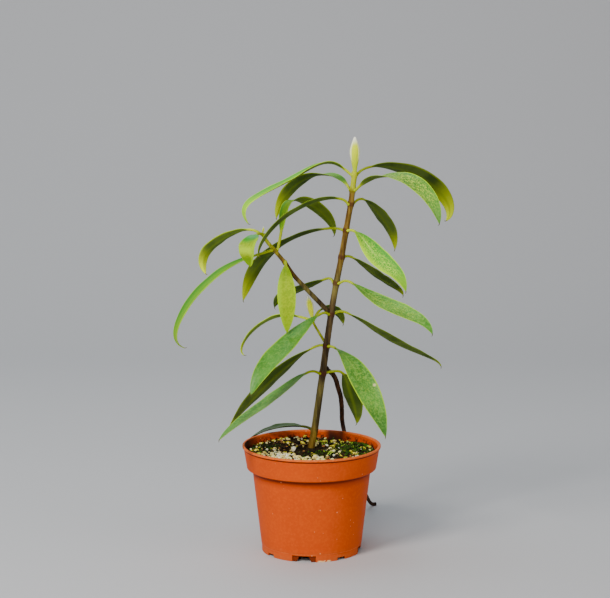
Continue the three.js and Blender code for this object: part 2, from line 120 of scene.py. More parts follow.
def new_finish(name):
    """A material with a plain Principled shader, given back with its node tree and that shader."""
    finish = bpy.data.materials.new(name)
    finish.use_nodes = True
    return finish, finish.node_tree, finish.node_tree.nodes["Principled BSDF"]


turn = np.linspace(0, np.pi / 2, BEND_STEPS)
floor_line = np.concatenate([
    [[FLOOR_FRONT, 0]],
    np.stack([BEND_START + BEND_RADIUS * np.sin(turn), BEND_RADIUS * (1 - np.cos(turn))], -1),
    [[BEND_START + BEND_RADIUS, BACKDROP_TOP]],
])
floor_grid = np.zeros((2, len(floor_line), 3))
floor_grid[..., 0] = np.array([[FLOOR_HALF_WIDTH], [-FLOOR_HALF_WIDTH]])
floor_grid[..., 1:] = floor_line
floor = make_piece("floor", floor_grid, sheet_faces(2, len(floor_line), False))
paper, _, shader = new_finish("pale_paper")
feed(shader, {"Base Color": PAPER_TONE, "Roughness": 0.9})
floor.data.materials.append(paper)

# Pot: thin terracotta-coloured plastic, moulded in one shot. The tall collar carries a rounded bead, and the
# foot band has eight notches, four of them large with a shallow recess round them. Eight drain holes open
# into the raised channel under the floor. Shapes are in millimetres from here on.
MM = 0.001
POT_HEIGHT = 93
RIM_RADIUS = 60
COLLAR_TOP_RADIUS = 58.9
COLLAR_FOOT_RADIUS = 56
COLLAR_FOOT = 74
BODY_TOP_RADIUS = 51.2
BODY_TOP = 71
FOOT_RADIUS = 43.3
FOOT_BAND = 6.8
FOOT_RING = 2
BEAD_HEIGHT = 1.7
STEP = 0.4
WALL = 1.3
POT_FLOOR = 1.8
FLOOR_MIDDLE = 0.5
CHANNEL_HEIGHT = 5
CHANNEL_INNER_RADIUS = 26
FIRST_NOTCH = -99
NOTCHES = 8
LARGE_NOTCH = (13, 8.5, 4.8)
SMALL_NOTCH = (8.5, 8, 2.6)
RECESS_WIDTH = 21
RECESS_HEIGHT = 5.4
RECESS_DEPTH = 1.3
RECESS_SLOPE = 0.3
RECESS_EDGE = 0.1
DRAIN_RADIUS = 3.2
DRAIN_CIRCLE = 34
DRAIN_REACH = (3, 9)
DRAIN_SIDES = 28
POT_SIDES = 240
WALL_SPACING = 3
CORNER_RADIUS = 0.5
CORNER_STEPS = 4
SHARP_ANGLE = np.radians(35)

POT_OUTLINE = np.array([
    [FLOOR_MIDDLE, 0],
    [CHANNEL_INNER_RADIUS - FOOT_RING, 0],
    [CHANNEL_INNER_RADIUS, CHANNEL_HEIGHT],
    [FOOT_RADIUS - FOOT_RING, CHANNEL_HEIGHT],
    [FOOT_RADIUS - FOOT_RING, 0],
    [FOOT_RADIUS, 0],
    [FOOT_RADIUS, RECESS_HEIGHT - RECESS_EDGE],
    [FOOT_RADIUS, RECESS_HEIGHT + RECESS_EDGE],
    [FOOT_RADIUS, FOOT_BAND - STEP],
    [FOOT_RADIUS + STEP, FOOT_BAND],
    [BODY_TOP_RADIUS, BODY_TOP],
    [COLLAR_FOOT_RADIUS, COLLAR_FOOT - 2 * STEP],
    [COLLAR_TOP_RADIUS, POT_HEIGHT - BEAD_HEIGHT - STEP],
    [RIM_RADIUS, POT_HEIGHT - BEAD_HEIGHT],
    [RIM_RADIUS, POT_HEIGHT],
    [COLLAR_TOP_RADIUS - WALL, POT_HEIGHT],
    [COLLAR_FOOT_RADIUS - WALL, COLLAR_FOOT + WALL],
    [BODY_TOP_RADIUS - WALL, BODY_TOP + WALL],
    [FOOT_RADIUS - WALL, CHANNEL_HEIGHT + POT_FLOOR],
    [CHANNEL_INNER_RADIUS - STEP, CHANNEL_HEIGHT + POT_FLOOR],
    [CHANNEL_INNER_RADIUS - FOOT_RING - STEP, POT_FLOOR],
    [FLOOR_MIDDLE, POT_FLOOR],
])
NOTCH_BEARINGS = np.radians(FIRST_NOTCH + 360 / NOTCHES * np.arange(NOTCHES))


def eased(outline, radius, steps):
    """The outline with each corner turned into a short curve, which starts and ends at most a radius away
    from the corner, or a third of the way to the next one."""
    before = outline[:-2] - outline[1:-1]
    after = outline[2:] - outline[1:-1]
    reach = [np.linalg.norm(side, axis=1, keepdims=True) for side in (before, after)]
    start = outline[1:-1] + before * np.minimum(radius / reach[0], 1 / 3)
    end = outline[1:-1] + after * np.minimum(radius / reach[1], 1 / 3)
    t = np.linspace(0, 1, steps)[None, :, None]
    curves = (1 - t) ** 2 * start[:, None] + 2 * t * (1 - t) * outline[1:-1, None] + t ** 2 * end[:, None]
    return np.concatenate([outline[:1], curves.reshape(-1, 2), outline[-1:]])


def pot_surface(angle, outline):
    """The outline turned about the axis. In a notch the foot is lifted to the notch's height, which falls
    off evenly along its slanted sides, and the outer face is set back over a large notch's recess."""
    radius, height = np.repeat(outline.T[..., None], len(angle), 2)
    foot = radius > FOOT_RADIUS - 2 * FOOT_RING
    outside = radius > FOOT_RADIUS - WALL / 2
    for number, middle in enumerate(NOTCH_BEARINGS):
        width, top_width, rise = SMALL_NOTCH if number % 2 else LARGE_NOTCH
        offset = np.abs(FOOT_RADIUS * (np.mod(angle - middle + np.pi, 2 * np.pi) - np.pi))
        lift = rise * np.clip((width - 2 * offset) / (width - top_width), 0, 1)
        if number % 2 == 0:
            recess = np.clip((RECESS_WIDTH / 2 - offset) / RECESS_SLOPE, 0, 1)
            radius = radius - RECESS_DEPTH * recess * (height < RECESS_HEIGHT) * outside
        height = np.where(foot & (height < lift), lift, height)
    return np.stack([radius * np.cos(angle), radius * np.sin(angle), height], -1)


pot_angles = [np.linspace(-np.pi, np.pi, POT_SIDES, endpoint=False)]
for number, middle in enumerate(NOTCH_BEARINGS):
    edges = SMALL_NOTCH[:2]
    if number % 2 == 0:
        edges = LARGE_NOTCH[:2] + (RECESS_WIDTH, RECESS_WIDTH - 2 * RECESS_SLOPE)
    for edge in edges:
        pot_angles.append(middle + np.array([-0.5, 0.5]) * edge / FOOT_RADIUS)
pot_angles = np.unique(np.round(np.mod(np.concatenate(pot_angles), 2 * np.pi), 5))
pot_line = eased(POT_OUTLINE, CORNER_RADIUS, CORNER_STEPS)
pot_line = np.concatenate([
    np.linspace(a, b, max(2, int(np.linalg.norm(b - a) / WALL_SPACING) + 1), endpoint=False)
    for a, b in zip(pot_line[:-1], pot_line[1:])
] + [pot_line[-1:]])
pot_grid = pot_surface(pot_angles, pot_line)
levels, sides = pot_grid.shape[:2]
under_pole, upper_pole, last = levels * sides, levels * sides + 1, (levels - 1) * sides
pot_points = np.concatenate([pot_grid.reshape(-1, 3), [[0, 0, 0], [0, 0, POT_FLOOR]]])
pot_faces = sheet_faces(levels, sides, True)
pot_faces += [[under_pole, (j + 1) % sides, j] for j in range(sides)]
pot_faces += [[upper_pole, last + j, last + (j + 1) % sides] for j in range(sides)]
pot = make_piece("nursery_pot", pot_points * MM, pot_faces)

# Its drain holes: eight upright round bars on the drain circle, each a ring of points carried from below the
# channel's roof to above the pot's floor, are cut out of it.


def circle(count):
    """Angles evenly round a circle."""
    return np.linspace(0, 2 * np.pi, count, endpoint=False)


def tube_faces(grid):
    """The faces of a tube whose rings are the rows of a grid, closed at both ends with a flat cap."""
    rows, columns = grid.shape[:2]
    last = (rows - 1) * columns
    caps = [list(range(columns - 1, -1, -1)), list(range(last, last + columns))]
    return sheet_faces(rows, columns, True) + caps


bars, bar_faces = [], []
for middle in NOTCH_BEARINGS:
    x = DRAIN_CIRCLE * np.cos(middle) + DRAIN_RADIUS * np.cos(circle(DRAIN_SIDES))
    y = DRAIN_CIRCLE * np.sin(middle) + DRAIN_RADIUS * np.sin(circle(DRAIN_SIDES))
    bar = np.stack(np.broadcast_arrays(x, y, np.array(DRAIN_REACH)[:, None]), -1)
    bar_faces += [[2 * DRAIN_SIDES * len(bars) + corner for corner in face] for face in tube_faces(bar)]
    bars.append(bar)
cutter = make_piece("drain_cutter", np.concatenate(bars) * MM, bar_faces)
drain = pot.modifiers.new("drain_holes", "BOOLEAN")
drain.object = cutter
drain.operation = "DIFFERENCE"
drain.solver = "EXACT"
bpy.context.view_layer.update()
cut_mesh = bpy.data.meshes.new_from_object(pot.evaluated_get(bpy.context.evaluated_depsgraph_get()))
pot.modifiers.clear()
pot.data = cut_mesh
bpy.data.objects.remove(cutter)
pot.data.set_sharp_from_angle(angle=SHARP_ANGLE)

# Dust: small round specks in random cells of space, with a soft cloud that makes them denser in places.


def put(tree, kind, values=None, **settings):
    """Adds a shader node to a tree, with its settings and the values or links of its inputs."""
    node = tree.nodes.new("ShaderNode" + kind)
    for key, value in settings.items():
        setattr(node, key, value)
    feed(node, values or {})
    return node


def tree_of(values):
    """The node tree that the first link among the values comes from."""
    return next(value.id_data for value in values if isinstance(value, bpy.types.NodeSocket))


def ease(value, low, high, start=0.0, end=1.0):
    """A smooth step of a value from start at low to end at high."""
    values = {"Value": value, "From Min": low, "From Max": high, "To Min": start, "To Max": end}
    return put(value.id_data, "MapRange", values, interpolation_type="SMOOTHSTEP").outputs[0]


def reckon(how, *values):
    """One step of arithmetic with values."""
    return put(tree_of(values), "Math", dict(enumerate(values)), operation=how).outputs[0]


def product(first, *others):
    """The product of masks and numbers."""
    for other in others:
        first = reckon("MULTIPLY", first, other)
    return first


def object_place(tree):
    """The place on the object, in metres."""
    return put(tree, "TexCoord").outputs["Object"]


def new_effect(name, inputs, outputs):
    """A shader node group with named float inputs and outputs, given back with its inner ends."""
    group = bpy.data.node_groups.new(name, "ShaderNodeTree")
    for label, value in inputs.items():
        socket = group.interface.new_socket(label, in_out="INPUT", socket_type="NodeSocketFloat")
        socket.default_value = value
    for label in outputs:
        group.interface.new_socket(label, in_out="OUTPUT", socket_type="NodeSocketFloat")
    return group, group.nodes.new("NodeGroupInput").outputs, group.nodes.new("NodeGroupOutput")


values = {"Scale": 300, "Share": 0.3, "Size": 0.2, "Cloud scale": 30}
dust, asked, dust_out = new_effect("dust", values, ["Specks"])
cells = put(dust, "TexVoronoi", {"Vector": object_place(dust), "Scale": asked["Scale"]}).outputs
drawn = put(dust, "SeparateColor", {"Color": cells["Color"]}).outputs
cloud = put(dust, "TexNoise", {"Vector": object_place(dust), "Scale": asked["Cloud scale"]}).outputs["Fac"]
likely = product(asked["Share"], reckon("ADD", ease(cloud, 0.35, 0.65), 0.3))
speck_size = product(reckon("ADD", drawn["Green"], 0.4), asked["Size"])
inside = ease(cells["Distance"], speck_size, reckon("ADD", speck_size, 0.08), 1, 0)
feed(dust_out, {"Specks": product(reckon("LESS_THAN", drawn["Red"], likely), inside)})

# Mottle: broad and fine noise for uneven colour and gloss.
mottle, asked, mottle_out = new_effect("mottle", {"Broad scale": 20, "Fine scale": 300}, ["Broad", "Fine"])
for label in ("Broad", "Fine"):
    values = {"Vector": object_place(mottle), "Scale": asked[label + " scale"], "Detail": 4}
    feed(mottle_out, {label: put(mottle, "TexNoise", values).outputs["Fac"]})

# Terracotta: an orange that goes unevenly redder, with faint dust, a dark smudge at the left end of the rim
# and soil stains on the inside above the fill, heavier at the left. Painted shade darkens it under the bead,
# under the collar and inside the foot, painted highlights lighten the rim's top edge, the foot's step and a
# strip at the front of the foot, and a painted shadow falls on the inside at the back right.


def mix(share, first, second, how="MIX"):
    """The colour between two colours, or their product, by a share."""
    values = {0: share, 6: first, 7: second}
    return put(tree_of(values.values()), "Mix", values, data_type="RGBA", blend_type=how).outputs[2]


def layered(base, *layers):
    """A base colour under layers laid on in turn, each given as its cover from 0 to 1 and its colour."""
    for cover, colour in layers:
        base = mix(cover, base, colour)
    return base


def most(first, *others):
    """The largest of masks."""
    for other in others:
        first = reckon("MAXIMUM", first, other)
    return first


def band(value, low, high, soft):
    """A mask that is 1 where a value lies between low and high, with soft edges."""
    return product(ease(value, low - soft, low + soft), ease(value, high + soft, high - soft))


def place_effect(tree, group, **values):
    """The outputs of a node group placed in a tree with its own values."""
    named = {label.replace("_", " ").capitalize(): value for label, value in values.items()}
    return list(put(tree, "Group", named, node_tree=group).outputs)


def dress(shader, colour, rough, gloss, height, strength, depth):
    """Gives a Principled shader its colour, roughness, specular level and a relief."""
    relief = put(shader.id_data, "Bump", {"Height": height, "Strength": strength, "Distance": depth})
    feed(shader, {"Base Color": colour, "Roughness": rough, "Specular IOR Level": gloss,
                  "Normal": relief.outputs["Normal"]})


terracotta, tree, shader = new_finish("terracotta_plastic")
broad, fine = place_effect(tree, mottle, broad_scale=25, fine_scale=420)
specks = place_effect(tree, dust, scale=420, share=0.05, size=0.16, cloud_scale=24)[0]
sideways, depth, high = put(tree, "SeparateXYZ", {"Vector": object_place(tree)}).outputs
from_axis = reckon("SQRT", reckon("ADD", product(sideways, sideways), product(depth, depth)))
inner = ease(reckon("MULTIPLY_ADD", high, -0.17, from_axis), 0.0428, 0.0424)
below_rim = ease(from_axis, 0.0562, 0.0556)
# Painted shade under the collar, under the bead and inside the foot, and a dark smudge at the left end of
# the rim.
painted_shade_and_smudge = most(
    product(band(high, 0.0695, 0.0732, 0.0015), below_rim, 0.9),
    product(band(high, 0.09, 0.091, 0.0003), reckon("SUBTRACT", 1, inner)),
    product(ease(sideways, -0.0575, -0.059), ease(high, 0.086, 0.09)),
    product(ease(from_axis, 0.0428, 0.042), ease(high, 0.0075, 0.0065), 0.8),
)
# Painted highlights along the foot's step and the rim's top edge.
edges = most(band(high, 0.0064, 0.0068, 0.0002), ease(high, 0.0915, 0.0918, 0, 0.7))
# Painted highlight: a pale strip at the front of the foot's lower edge.
foot_highlight = product(ease(high, 0.0017, 0.001), band(sideways, 0.005, 0.016, 0.001), ease(depth, 0, -0.02),
                 ease(fine, 0.38, 0.46))
soiled = product(ease(fine, 0.42, 0.58), ease(high, 0.0925, 0.0865))
# Painted shadow on the inner wall at the back right.
back_right_shadow = product(band(sideways, 0.013, 0.03, 0.004), ease(depth, 0.02, 0.04))
shadow_and_mud = product(most(back_right_shadow, ease(sideways, -0.045, -0.053)), ease(broad, 0.3, 0.55, 0.6, 1))
plastic = layered(
    mix(broad, (0.56, 0.057, 0.0005), (0.74, 0.09, 0.001)),
    (ease(fine, 0.4, 0.7, 0, 0.3), (0.82, 0.13, 0.006)),
    (product(ease(high, 0.012, 0, 0, 0.5), fine), (0.45, 0.16, 0.05)),
    (painted_shade_and_smudge, (0.09, 0.009, 0.001)),
    # Painted shade: a soft dark band on the body just under the collar.
    (product(band(high, 0.066, 0.071, 0.003), below_rim, 0.5), (0.3, 0.02, 0.001)),
    (product(edges, ease(from_axis, 0.0425, 0.0432), ease(fine, 0.3, 0.6, 0.3, 0.7)), (0.95, 0.26, 0.06)),
    (foot_highlight, (0.95, 0.68, 0.32)),
    (product(inner, ease(high, 0.0835, 0.0845), most(soiled, shadow_and_mud)), (0.04, 0.009, 0.003)),
    (product(specks, 0.55), (0.95, 0.45, 0.2)),
)
satin = reckon("ADD", ease(fine, 0.3, 0.7, 0.52, 0.64), product(specks, 0.3))
dress(shader, plastic, satin, 0.1, fine, 0.12, 0.0004)
pot.data.materials.clear()
pot.data.materials.append(terracotta)
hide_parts("pot")
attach(pot, "root")

# Soil: dark peat that fills the pot to 6 or 7 mm below the rim, rises a little to the stem and dips at the
# back right. It reaches the wall all round and has crumbs of all sizes. The mound and the dip are given by
# height and spread, and the lumps by length, height and bearing.
SOIL_LEVEL = 86.5
SOIL_MOUND = (1.5, 22)
SOIL_DIP = (2.2, 18)
DIP_PLACE = (24, 42)
STEM_FOOT = (-0.5, 8)
STEM_FOOT_RADIUS = 3
HOLE_RADIUS = STEM_FOOT_RADIUS - 0.4
GAP = 0.3
SOIL_SIDES = 200
SOIL_RINGS = 70
LUMPS = ((5.1, 0.5, 0.4), (2.7, 0.4, 1.3), (1.5, 0.3, 2.2), (0.9, 0.2, 0.9))
SOIL_EDGE = COLLAR_FOOT_RADIUS - WALL + 3 * GAP
SOIL_INSET = WALL + 2 * GAP
SOIL_OUTLINE = np.array([
    (CHANNEL_INNER_RADIUS - 3, POT_FLOOR + GAP),
    (CHANNEL_INNER_RADIUS - 1, CHANNEL_HEIGHT + POT_FLOOR + GAP),
    (FOOT_RADIUS - SOIL_INSET, CHANNEL_HEIGHT + POT_FLOOR + GAP),
    (BODY_TOP_RADIUS - SOIL_INSET, BODY_TOP + WALL),
    (COLLAR_FOOT_RADIUS - SOIL_INSET, COLLAR_FOOT + 2 * WALL),
])


def soil_height(x, y):
    """Height of the soil: the level, a round swell at the stem, a slow ripple and a round dip."""
    swell = SOIL_MOUND[0] * np.exp(-((np.hypot(x - STEM_FOOT[0], y - STEM_FOOT[1]) / SOIL_MOUND[1]) ** 2))
    dip = SOIL_DIP[0] * np.exp(-((np.hypot(x - DIP_PLACE[0], y - DIP_PLACE[1]) / SOIL_DIP[1]) ** 2))
    ripple = 0.7 * np.sin(0.31 * x + 1) * np.cos(0.27 * y) + 0.5 * np.sin(0.53 * (x - y))
    return SOIL_LEVEL + swell + ripple - dip


def crumbly(x, y):
    """Small lumps of peat: products of crossed waves of shorter and shorter length."""
    lumps = np.zeros_like(x)
    for size, rise, turned in LUMPS:
        along = x * np.cos(turned) + y * np.sin(turned)
        across = y * np.cos(turned) - x * np.sin(turned)
        lumps += rise * np.sin(6.28 * along / size + across) * np.sin(6.28 * across / size + 0.7 * along)
    return lumps


around = circle(SOIL_SIDES)
share = np.concatenate([[0, 0.01], np.linspace(0.03, 1, SOIL_RINGS)])[:, None]
reach = SOIL_EDGE * (1 - share) + HOLE_RADIUS * share
x = reach * np.cos(around) + STEM_FOOT[0] * share
y = reach * np.sin(around) + STEM_FOOT[1] * share
soil_top = np.stack([x, y, soil_height(x, y) + crumbly(x, y) * np.minimum(1, 20 * share)], -1)
radius, height = SOIL_OUTLINE.T[..., None]
soil_rings = np.stack(np.broadcast_arrays(radius * np.cos(around), radius * np.sin(around), height), -1)
soil_grid = np.concatenate([soil_rings, soil_top])
soil = make_piece("potting_soil", soil_grid * MM, tube_faces(soil_grid))

peat, tree, shader = new_finish("peat")
broad, fine = place_effect(tree, mottle, broad_scale=90, fine_scale=900)
earth = mix(ease(broad, 0.35, 0.65), (0.005, 0.003, 0.0015), (0.035, 0.02, 0.006))
earth = mix(ease(fine, 0.55, 0.75, 0, 0.6), earth, (0.1, 0.065, 0.03))
dress(shader, earth, 0.95, 0.15, fine, 0.9, 0.001)
soil.data.materials.append(peat)
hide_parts("soil")
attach(soil, "root")

# Grains on the soil: crumbs of peat, white and cream perlite mostly at the front left, bark, yellow chips
# and dark green moss at the sides. A grain is a twenty-sided ball with its corners pushed in and out, and a
# moss leaf is a thin long diamond. The rows of a table give x, y, length, width and height.
GOLDEN = (1 + 5 ** 0.5) / 2
BALL = np.array([[0, a, b * GOLDEN] for a in (-1, 1) for b in (-1, 1)])
BALL = np.concatenate([np.roll(BALL, k, 1) for k in range(3)]) / np.hypot(1, GOLDEN)
NEIGHBOUR_REACH = 1.1
DIAMOND = np.array([[1, 0, 0], [-1, 0, 0], [0, 1, 0], [0, -1, 0], [0, 0, 1], [0, 0, -1]])
DIAMOND_FACES = np.array([[a, b, c] if (a == 0) ^ (b == 2) ^ (c == 4) else [a, c, b]
                          for a in (0, 1) for b in (2, 3) for c in (4, 5)])
SIZE_POWER = 1.8
CORNER_PUSH = (0.75, 1.2)
STEM_CLEARANCE = 0.5
WALL_OVERLAP = 0.6
WHITE_GRAINS = [
    (-15.6, -2.4, 4.8, 3.6, 6.4), (-34.6, -10.6, 2.9, 2.6, 2.6), (19.3, -21.3, 2.6, 2.4, 2.6),
    (13.6, 16.6, 3.6, 3.2, 3.2), (36.4, 4.4, 1.8, 1.6, 1.8), (-38.5, 1.4, 2.6, 2.4, 2.6),
    (-24, -18, 3, 2.6, 2.8), (-29, -21, 3.2, 2.8, 2.6), (-21, -24, 2.8, 2.4, 2.6),
    (-31, -28, 2.6, 2.4, 2.4),
]
CREAM_GRAINS = [
    (-32, 7.1, 3.8, 3, 2.8), (-38.5, -16.2, 3.2, 2.8, 2.8), (-21.7, -13.2, 2.4, 2.2, 2.4),
    (-17.9, -30.5, 2.8, 2.4, 2.6), (-22.8, -29.4, 2.8, 2.4, 2.6), (-26.5, -25.4, 2.8, 2.6, 2.6),
    (-14.2, -21.3, 2.8, 2.6, 2.6), (-9.2, -26.8, 2.8, 2.4, 2.6), (-4.2, -23.9, 2.6, 2.6, 2.4),
    (-7.4, -34.5, 2.6, 2.4, 2.4), (7.4, -26.8, 2.6, 2.4, 2.6), (24.2, -6.5, 3, 2.6, 2.8),
    (-13.9, 50.8, 4.6, 1.8, 2), (-52.7, 2.9, 2.6, 2.2, 2.4), (-43.5, 9, 1.8, 1.4, 1.6),
]
YELLOW_CHIPS = [
    (-45.4, -14.7, 5.4, 3, 2.6), (1.9, -18.8, 5, 3.4, 2.4), (18.2, 15.9, 8.5, 2.4, 1.6),
    (51.3, 9.7, 4.4, 3.4, 2.6), (51.5, 21, 4.2, 2.6, 1.8), (-7.5, 25.1, 6, 4, 3.2),
    (-5.8, 52.5, 4.4, 2.6, 3.2), (-5.5, 42.4, 3.6, 2.4, 1.8), (-22.3, 46.4, 3.6, 2.4, 2.2),
    (4, -32, 3, 2.2, 1.8), (12, -33, 2.8, 2, 1.8),
]
TAN_CHIPS = [
    (-26, 28.6, 5.4, 3, 1.6), (41.7, 27.8, 2, 1.6, 1.4), (19, 52, 2.4, 1.8, 1.8), (28, 47, 2.4, 2, 1.8),
    (-30, 33, 3.4, 2, 1.4), (9, -4, 3, 2, 1.6),
]


def ball_faces():
    """The twenty triangles of the ball: every three corners that are neighbours of each other."""
    near = np.triu(np.linalg.norm(BALL[:, None] - BALL, axis=2) < NEIGHBOUR_REACH, 1)
    faces = np.argwhere(near[:, :, None] & near & near[:, None])
    a, b, c = BALL[faces].transpose(1, 0, 2)
    inward = (np.cross(b - a, c - a) * (a + b + c)).sum(1) < 0
    faces[inward] = faces[inward][:, [0, 2, 1]]
    return faces


def strewn(seed, count, bearings, distances, sizes, stretch):
    """Rows for grains drawn between two bearings in degrees and two distances from the pot's middle. Small
    grains are the most common. The stretch gives length, width and height by the size."""
    draw = np.random.default_rng(seed)
    bearing = np.radians(draw.uniform(*bearings, count))
    distance = np.sqrt(draw.uniform(distances[0] ** 2, distances[1] ** 2, count))
    size = sizes[0] + (sizes[1] - sizes[0]) * draw.random(count) ** SIZE_POWER
    x, y = distance * np.cos(bearing), distance * np.sin(bearing)
    return np.stack([x, y, *(size * k for k in stretch)], -1)


def lay_grains(name, seed, finish, placed, drawn, tips=(-0.4, 0.4), rise=0.4, form=BALL, faces=ball_faces()):
    """One piece of many grains, those of a table and then those drawn. Each is the form with its corners
    pushed in or out, brought to its length, width and height, tipped, and turned about the upright if it was
    drawn. Its middle is a rise and a quarter of its height above the soil. Grains that would touch the stem
    or stand out of the pot are left out."""
    rows = np.concatenate([np.reshape(placed, (-1, 5))] + [strewn(*row) for row in drawn])
    draw = np.random.default_rng(seed)
    spin = draw.uniform(0, 2 * np.pi, len(rows))
    spin[:len(placed)] = 0
    x, y, length = rows[:, :3].T
    far = np.hypot(x - STEM_FOOT[0], y - STEM_FOOT[1]) > STEM_FOOT_RADIUS + STEM_CLEARANCE + length / 2
    kept = far & (np.hypot(x, y) + length / 2 < SOIL_EDGE + WALL_OVERLAP)
    x, y, spin, size = x[kept], y[kept], spin[kept, None], rows[kept, 2:]
    corners = form * draw.uniform(*CORNER_PUSH, (len(x), len(form), 1)) * size[:, None] / 2
    tip = draw.uniform(*tips, (len(x), 1))
    a, b, c = np.moveaxis(corners, -1, 0)
    a, c = a * np.cos(tip) - c * np.sin(tip), a * np.sin(tip) + c * np.cos(tip)
    a, b = a * np.cos(spin) - b * np.sin(spin), a * np.sin(spin) + b * np.cos(spin)
    middle = np.stack([x, y, soil_height(x, y) + rise + size[:, 2] / 4], -1)
    points = np.stack([a, b, c], -1) + middle[:, None]
    all_faces = (faces + len(form) * np.arange(len(x))[:, None, None]).reshape(-1, 3)
    grains = make_piece(name, points * MM, all_faces.tolist(), smooth=False)
    grains.data.materials.append(finish)
    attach(grains, "root")


def grain_finish(name, dark, light, rough):
    """A dull finish whose tone changes from grain to grain and within each grain."""
    finish, tree, shader = new_finish(name)
    broad, fine = place_effect(tree, mottle, broad_scale=260, fine_scale=900)
    tone = layered(mix(ease(broad, 0.38, 0.6), dark, light), (ease(fine, 0.4, 0.7, 0, 0.3), dark))
    dress(shader, tone, rough, 0.2, fine, 0.5, 0.0005)
    return finish


white = grain_finish("perlite_white", (0.85, 0.76, 0.45), (0.98, 0.95, 0.78), 0.9)
cream = grain_finish("perlite_cream", (0.8, 0.62, 0.16), (0.98, 0.9, 0.42), 0.9)
yellow = grain_finish("yellow_chip", (0.4, 0.34, 0.01), (0.95, 0.82, 0.08), 0.85)
tan = grain_finish("bark_chip", (0.04, 0.018, 0.006), (0.45, 0.2, 0.05), 0.85)
lime = grain_finish("fresh_moss", (0.22, 0.4, 0.01), (0.7, 0.85, 0.08), 0.8)
moss_green = grain_finish("moss", (0.008, 0.02, 0.002), (0.05, 0.13, 0.004), 0.9)

lay_grains("peat_crumbs", 3, peat, (), [(3, 1500, (0, 360), (4, 55.4), (1, 3.8), (1, 0.8, 0.7))], rise=0)
lay_grains("white_perlite", 21, white, WHITE_GRAINS, [
    (8, 64, (195, 285), (26, 55), (1.8, 4), (1, 0.9, 0.85)),
    (9, 36, (0, 360), (12, 55), (1.4, 3), (1, 0.9, 0.8)),
])
lay_grains("cream_perlite", 22, cream, CREAM_GRAINS, [
    (10, 150, (190, 300), (22, 55), (1.8, 4.6), (1.1, 0.9, 0.85)),
    (11, 52, (60, 190), (8, 55), (1.4, 4.4), (1.3, 0.9, 0.8)),
    (19, 30, (-60, 60), (10, 55), (1.2, 3.4), (1.1, 0.9, 0.8)),
])
lay_grains("yellow_chips", 23, yellow, YELLOW_CHIPS, [
    (5, 40, (-90, 90), (10, 55), (1.8, 5), (1.5, 0.8, 0.6)),
    (12, 56, (80, 290), (8, 55), (1.8, 4.6), (1.5, 0.8, 0.6)),
])
lay_grains("bark_chips", 24, tan, TAN_CHIPS, [(4, 150, (0, 360), (8, 55), (1.4, 4), (1.5, 0.8, 0.5))])
lay_grains("fresh_moss", 25, lime, (), [
    (13, 26, (60, 90), (24, 38), (3, 5), (1, 0.4, 0.2)),
    (14, 9, (-60, -30), (13, 24), (3, 6), (1, 0.35, 0.2)),
    (15, 30, (-40, 60), (16, 54), (2, 4), (1, 0.4, 0.2)),
], (0.1, 0.9), 1.6, DIAMOND, DIAMOND_FACES)
lay_grains("moss", 26, moss_green, (), [
    (6, 420, (-30, 45), (26, 54), (2.4, 5), (1, 0.45, 0.22)),
    (16, 200, (150, 215), (30, 54), (1.8, 4), (1, 0.4, 0.22)),
    (17, 120, (250, 360), (8, 26), (1.6, 3.6), (1, 0.4, 0.22)),
    (18, 60, (0, 360), (10, 54), (1.6, 3.4), (1, 0.4, 0.22)),
], (0.1, 1.1), 1.2, DIAMOND, DIAMOND_FACES)

# Main stem: woody, straight between its nodes and swollen at each, with a thin ring on either side, where a
# pair of leaves sits on it. It is green at the top, golden brown below and dark at the foot, in the soil.
STEM_LINE = np.array([
    [-0.5, 8, 88], [2.6, 7, 104], [9.6, 4.5, 155], [12.8, 4, 179], [16.7, 3, 207], [21.1, 2, 234],
    [25.6, 1.5, 256.5], [29.3, 1, 279.5], [33.3, 0.5, 302], [34.7, 0, 314], [36.2, 0, 327],
])
STEM_END = np.array([36.5, 0, 329.6])
STEM_TOP_RADIUS = 2.2
STEM_SIDES = 32
NODE_SWELLING = 0.5
NODE_LENGTH = 2.6
RING_HEIGHT = 0.12
RING_DISTANCE = 1.6
RING_LENGTH = 0.5
STEM_HOLE_DEPTH = 32
STEM_BEND_DEPTH = 6
STALK_SPACING = 0.8
SIDE_GUIDE = (0.2, 1, 0.1)
STEM_SWELLING = ([104, 150], [0.35, 1])
STEM_YOUTH = ([86, 100, 112, 140, 155, 210, 225, 250, 300, 309, 315, 320],
              [0.6, 0.35, 0.2, 0.14, 0.03, 0, 0.1, 0.32, 0.42, 0.5, 0.8, 1])


def unit(vectors):
    """Vectors brought to a length of one."""
    return vectors / np.linalg.norm(vectors, axis=-1, keepdims=True)


def stalk_surface(line, radius):
    """A tube round a line: at each point a ring square to the line. radius gives its size for every point of
    the line and every angle round it."""
    along = unit(np.gradient(line, axis=0))
    side = unit(np.cross(SIDE_GUIDE, along))
    other = np.cross(along, side)
    angle = circle(radius.shape[1])[:, None]
    ring = side[:, None] * np.cos(angle) + other[:, None] * np.sin(angle)
    return line[:, None] + ring * radius[..., None]


def stem_radius(height):
    """The radius of the stem falls evenly from the soil to its tip."""
    return np.interp(height, [SOIL_LEVEL, STEM_END[2]], [STEM_FOOT_RADIUS, STEM_TOP_RADIUS])


def set_values(piece, shape, **values):
    """Stores values for a piece's grid of points, which its material reads by name. Each fits the shape."""
    for name, value in values.items():
        numbers = np.broadcast_to(value, shape).ravel().astype(np.float32)
        piece.data.attributes.new(name, "FLOAT", "POINT").data.foreach_set("value", numbers)


def stalk(name, line, radius, youth, swelling):
    """A stalk along a line, with point values for how young and green it is and for how near a node."""
    points = stalk_surface(line, radius)
    piece = make_piece(name, points * MM, tube_faces(points))
    set_values(piece, radius.shape, youth=youth[:, None], node=swelling[:, None])
    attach(piece, "root")
    return piece


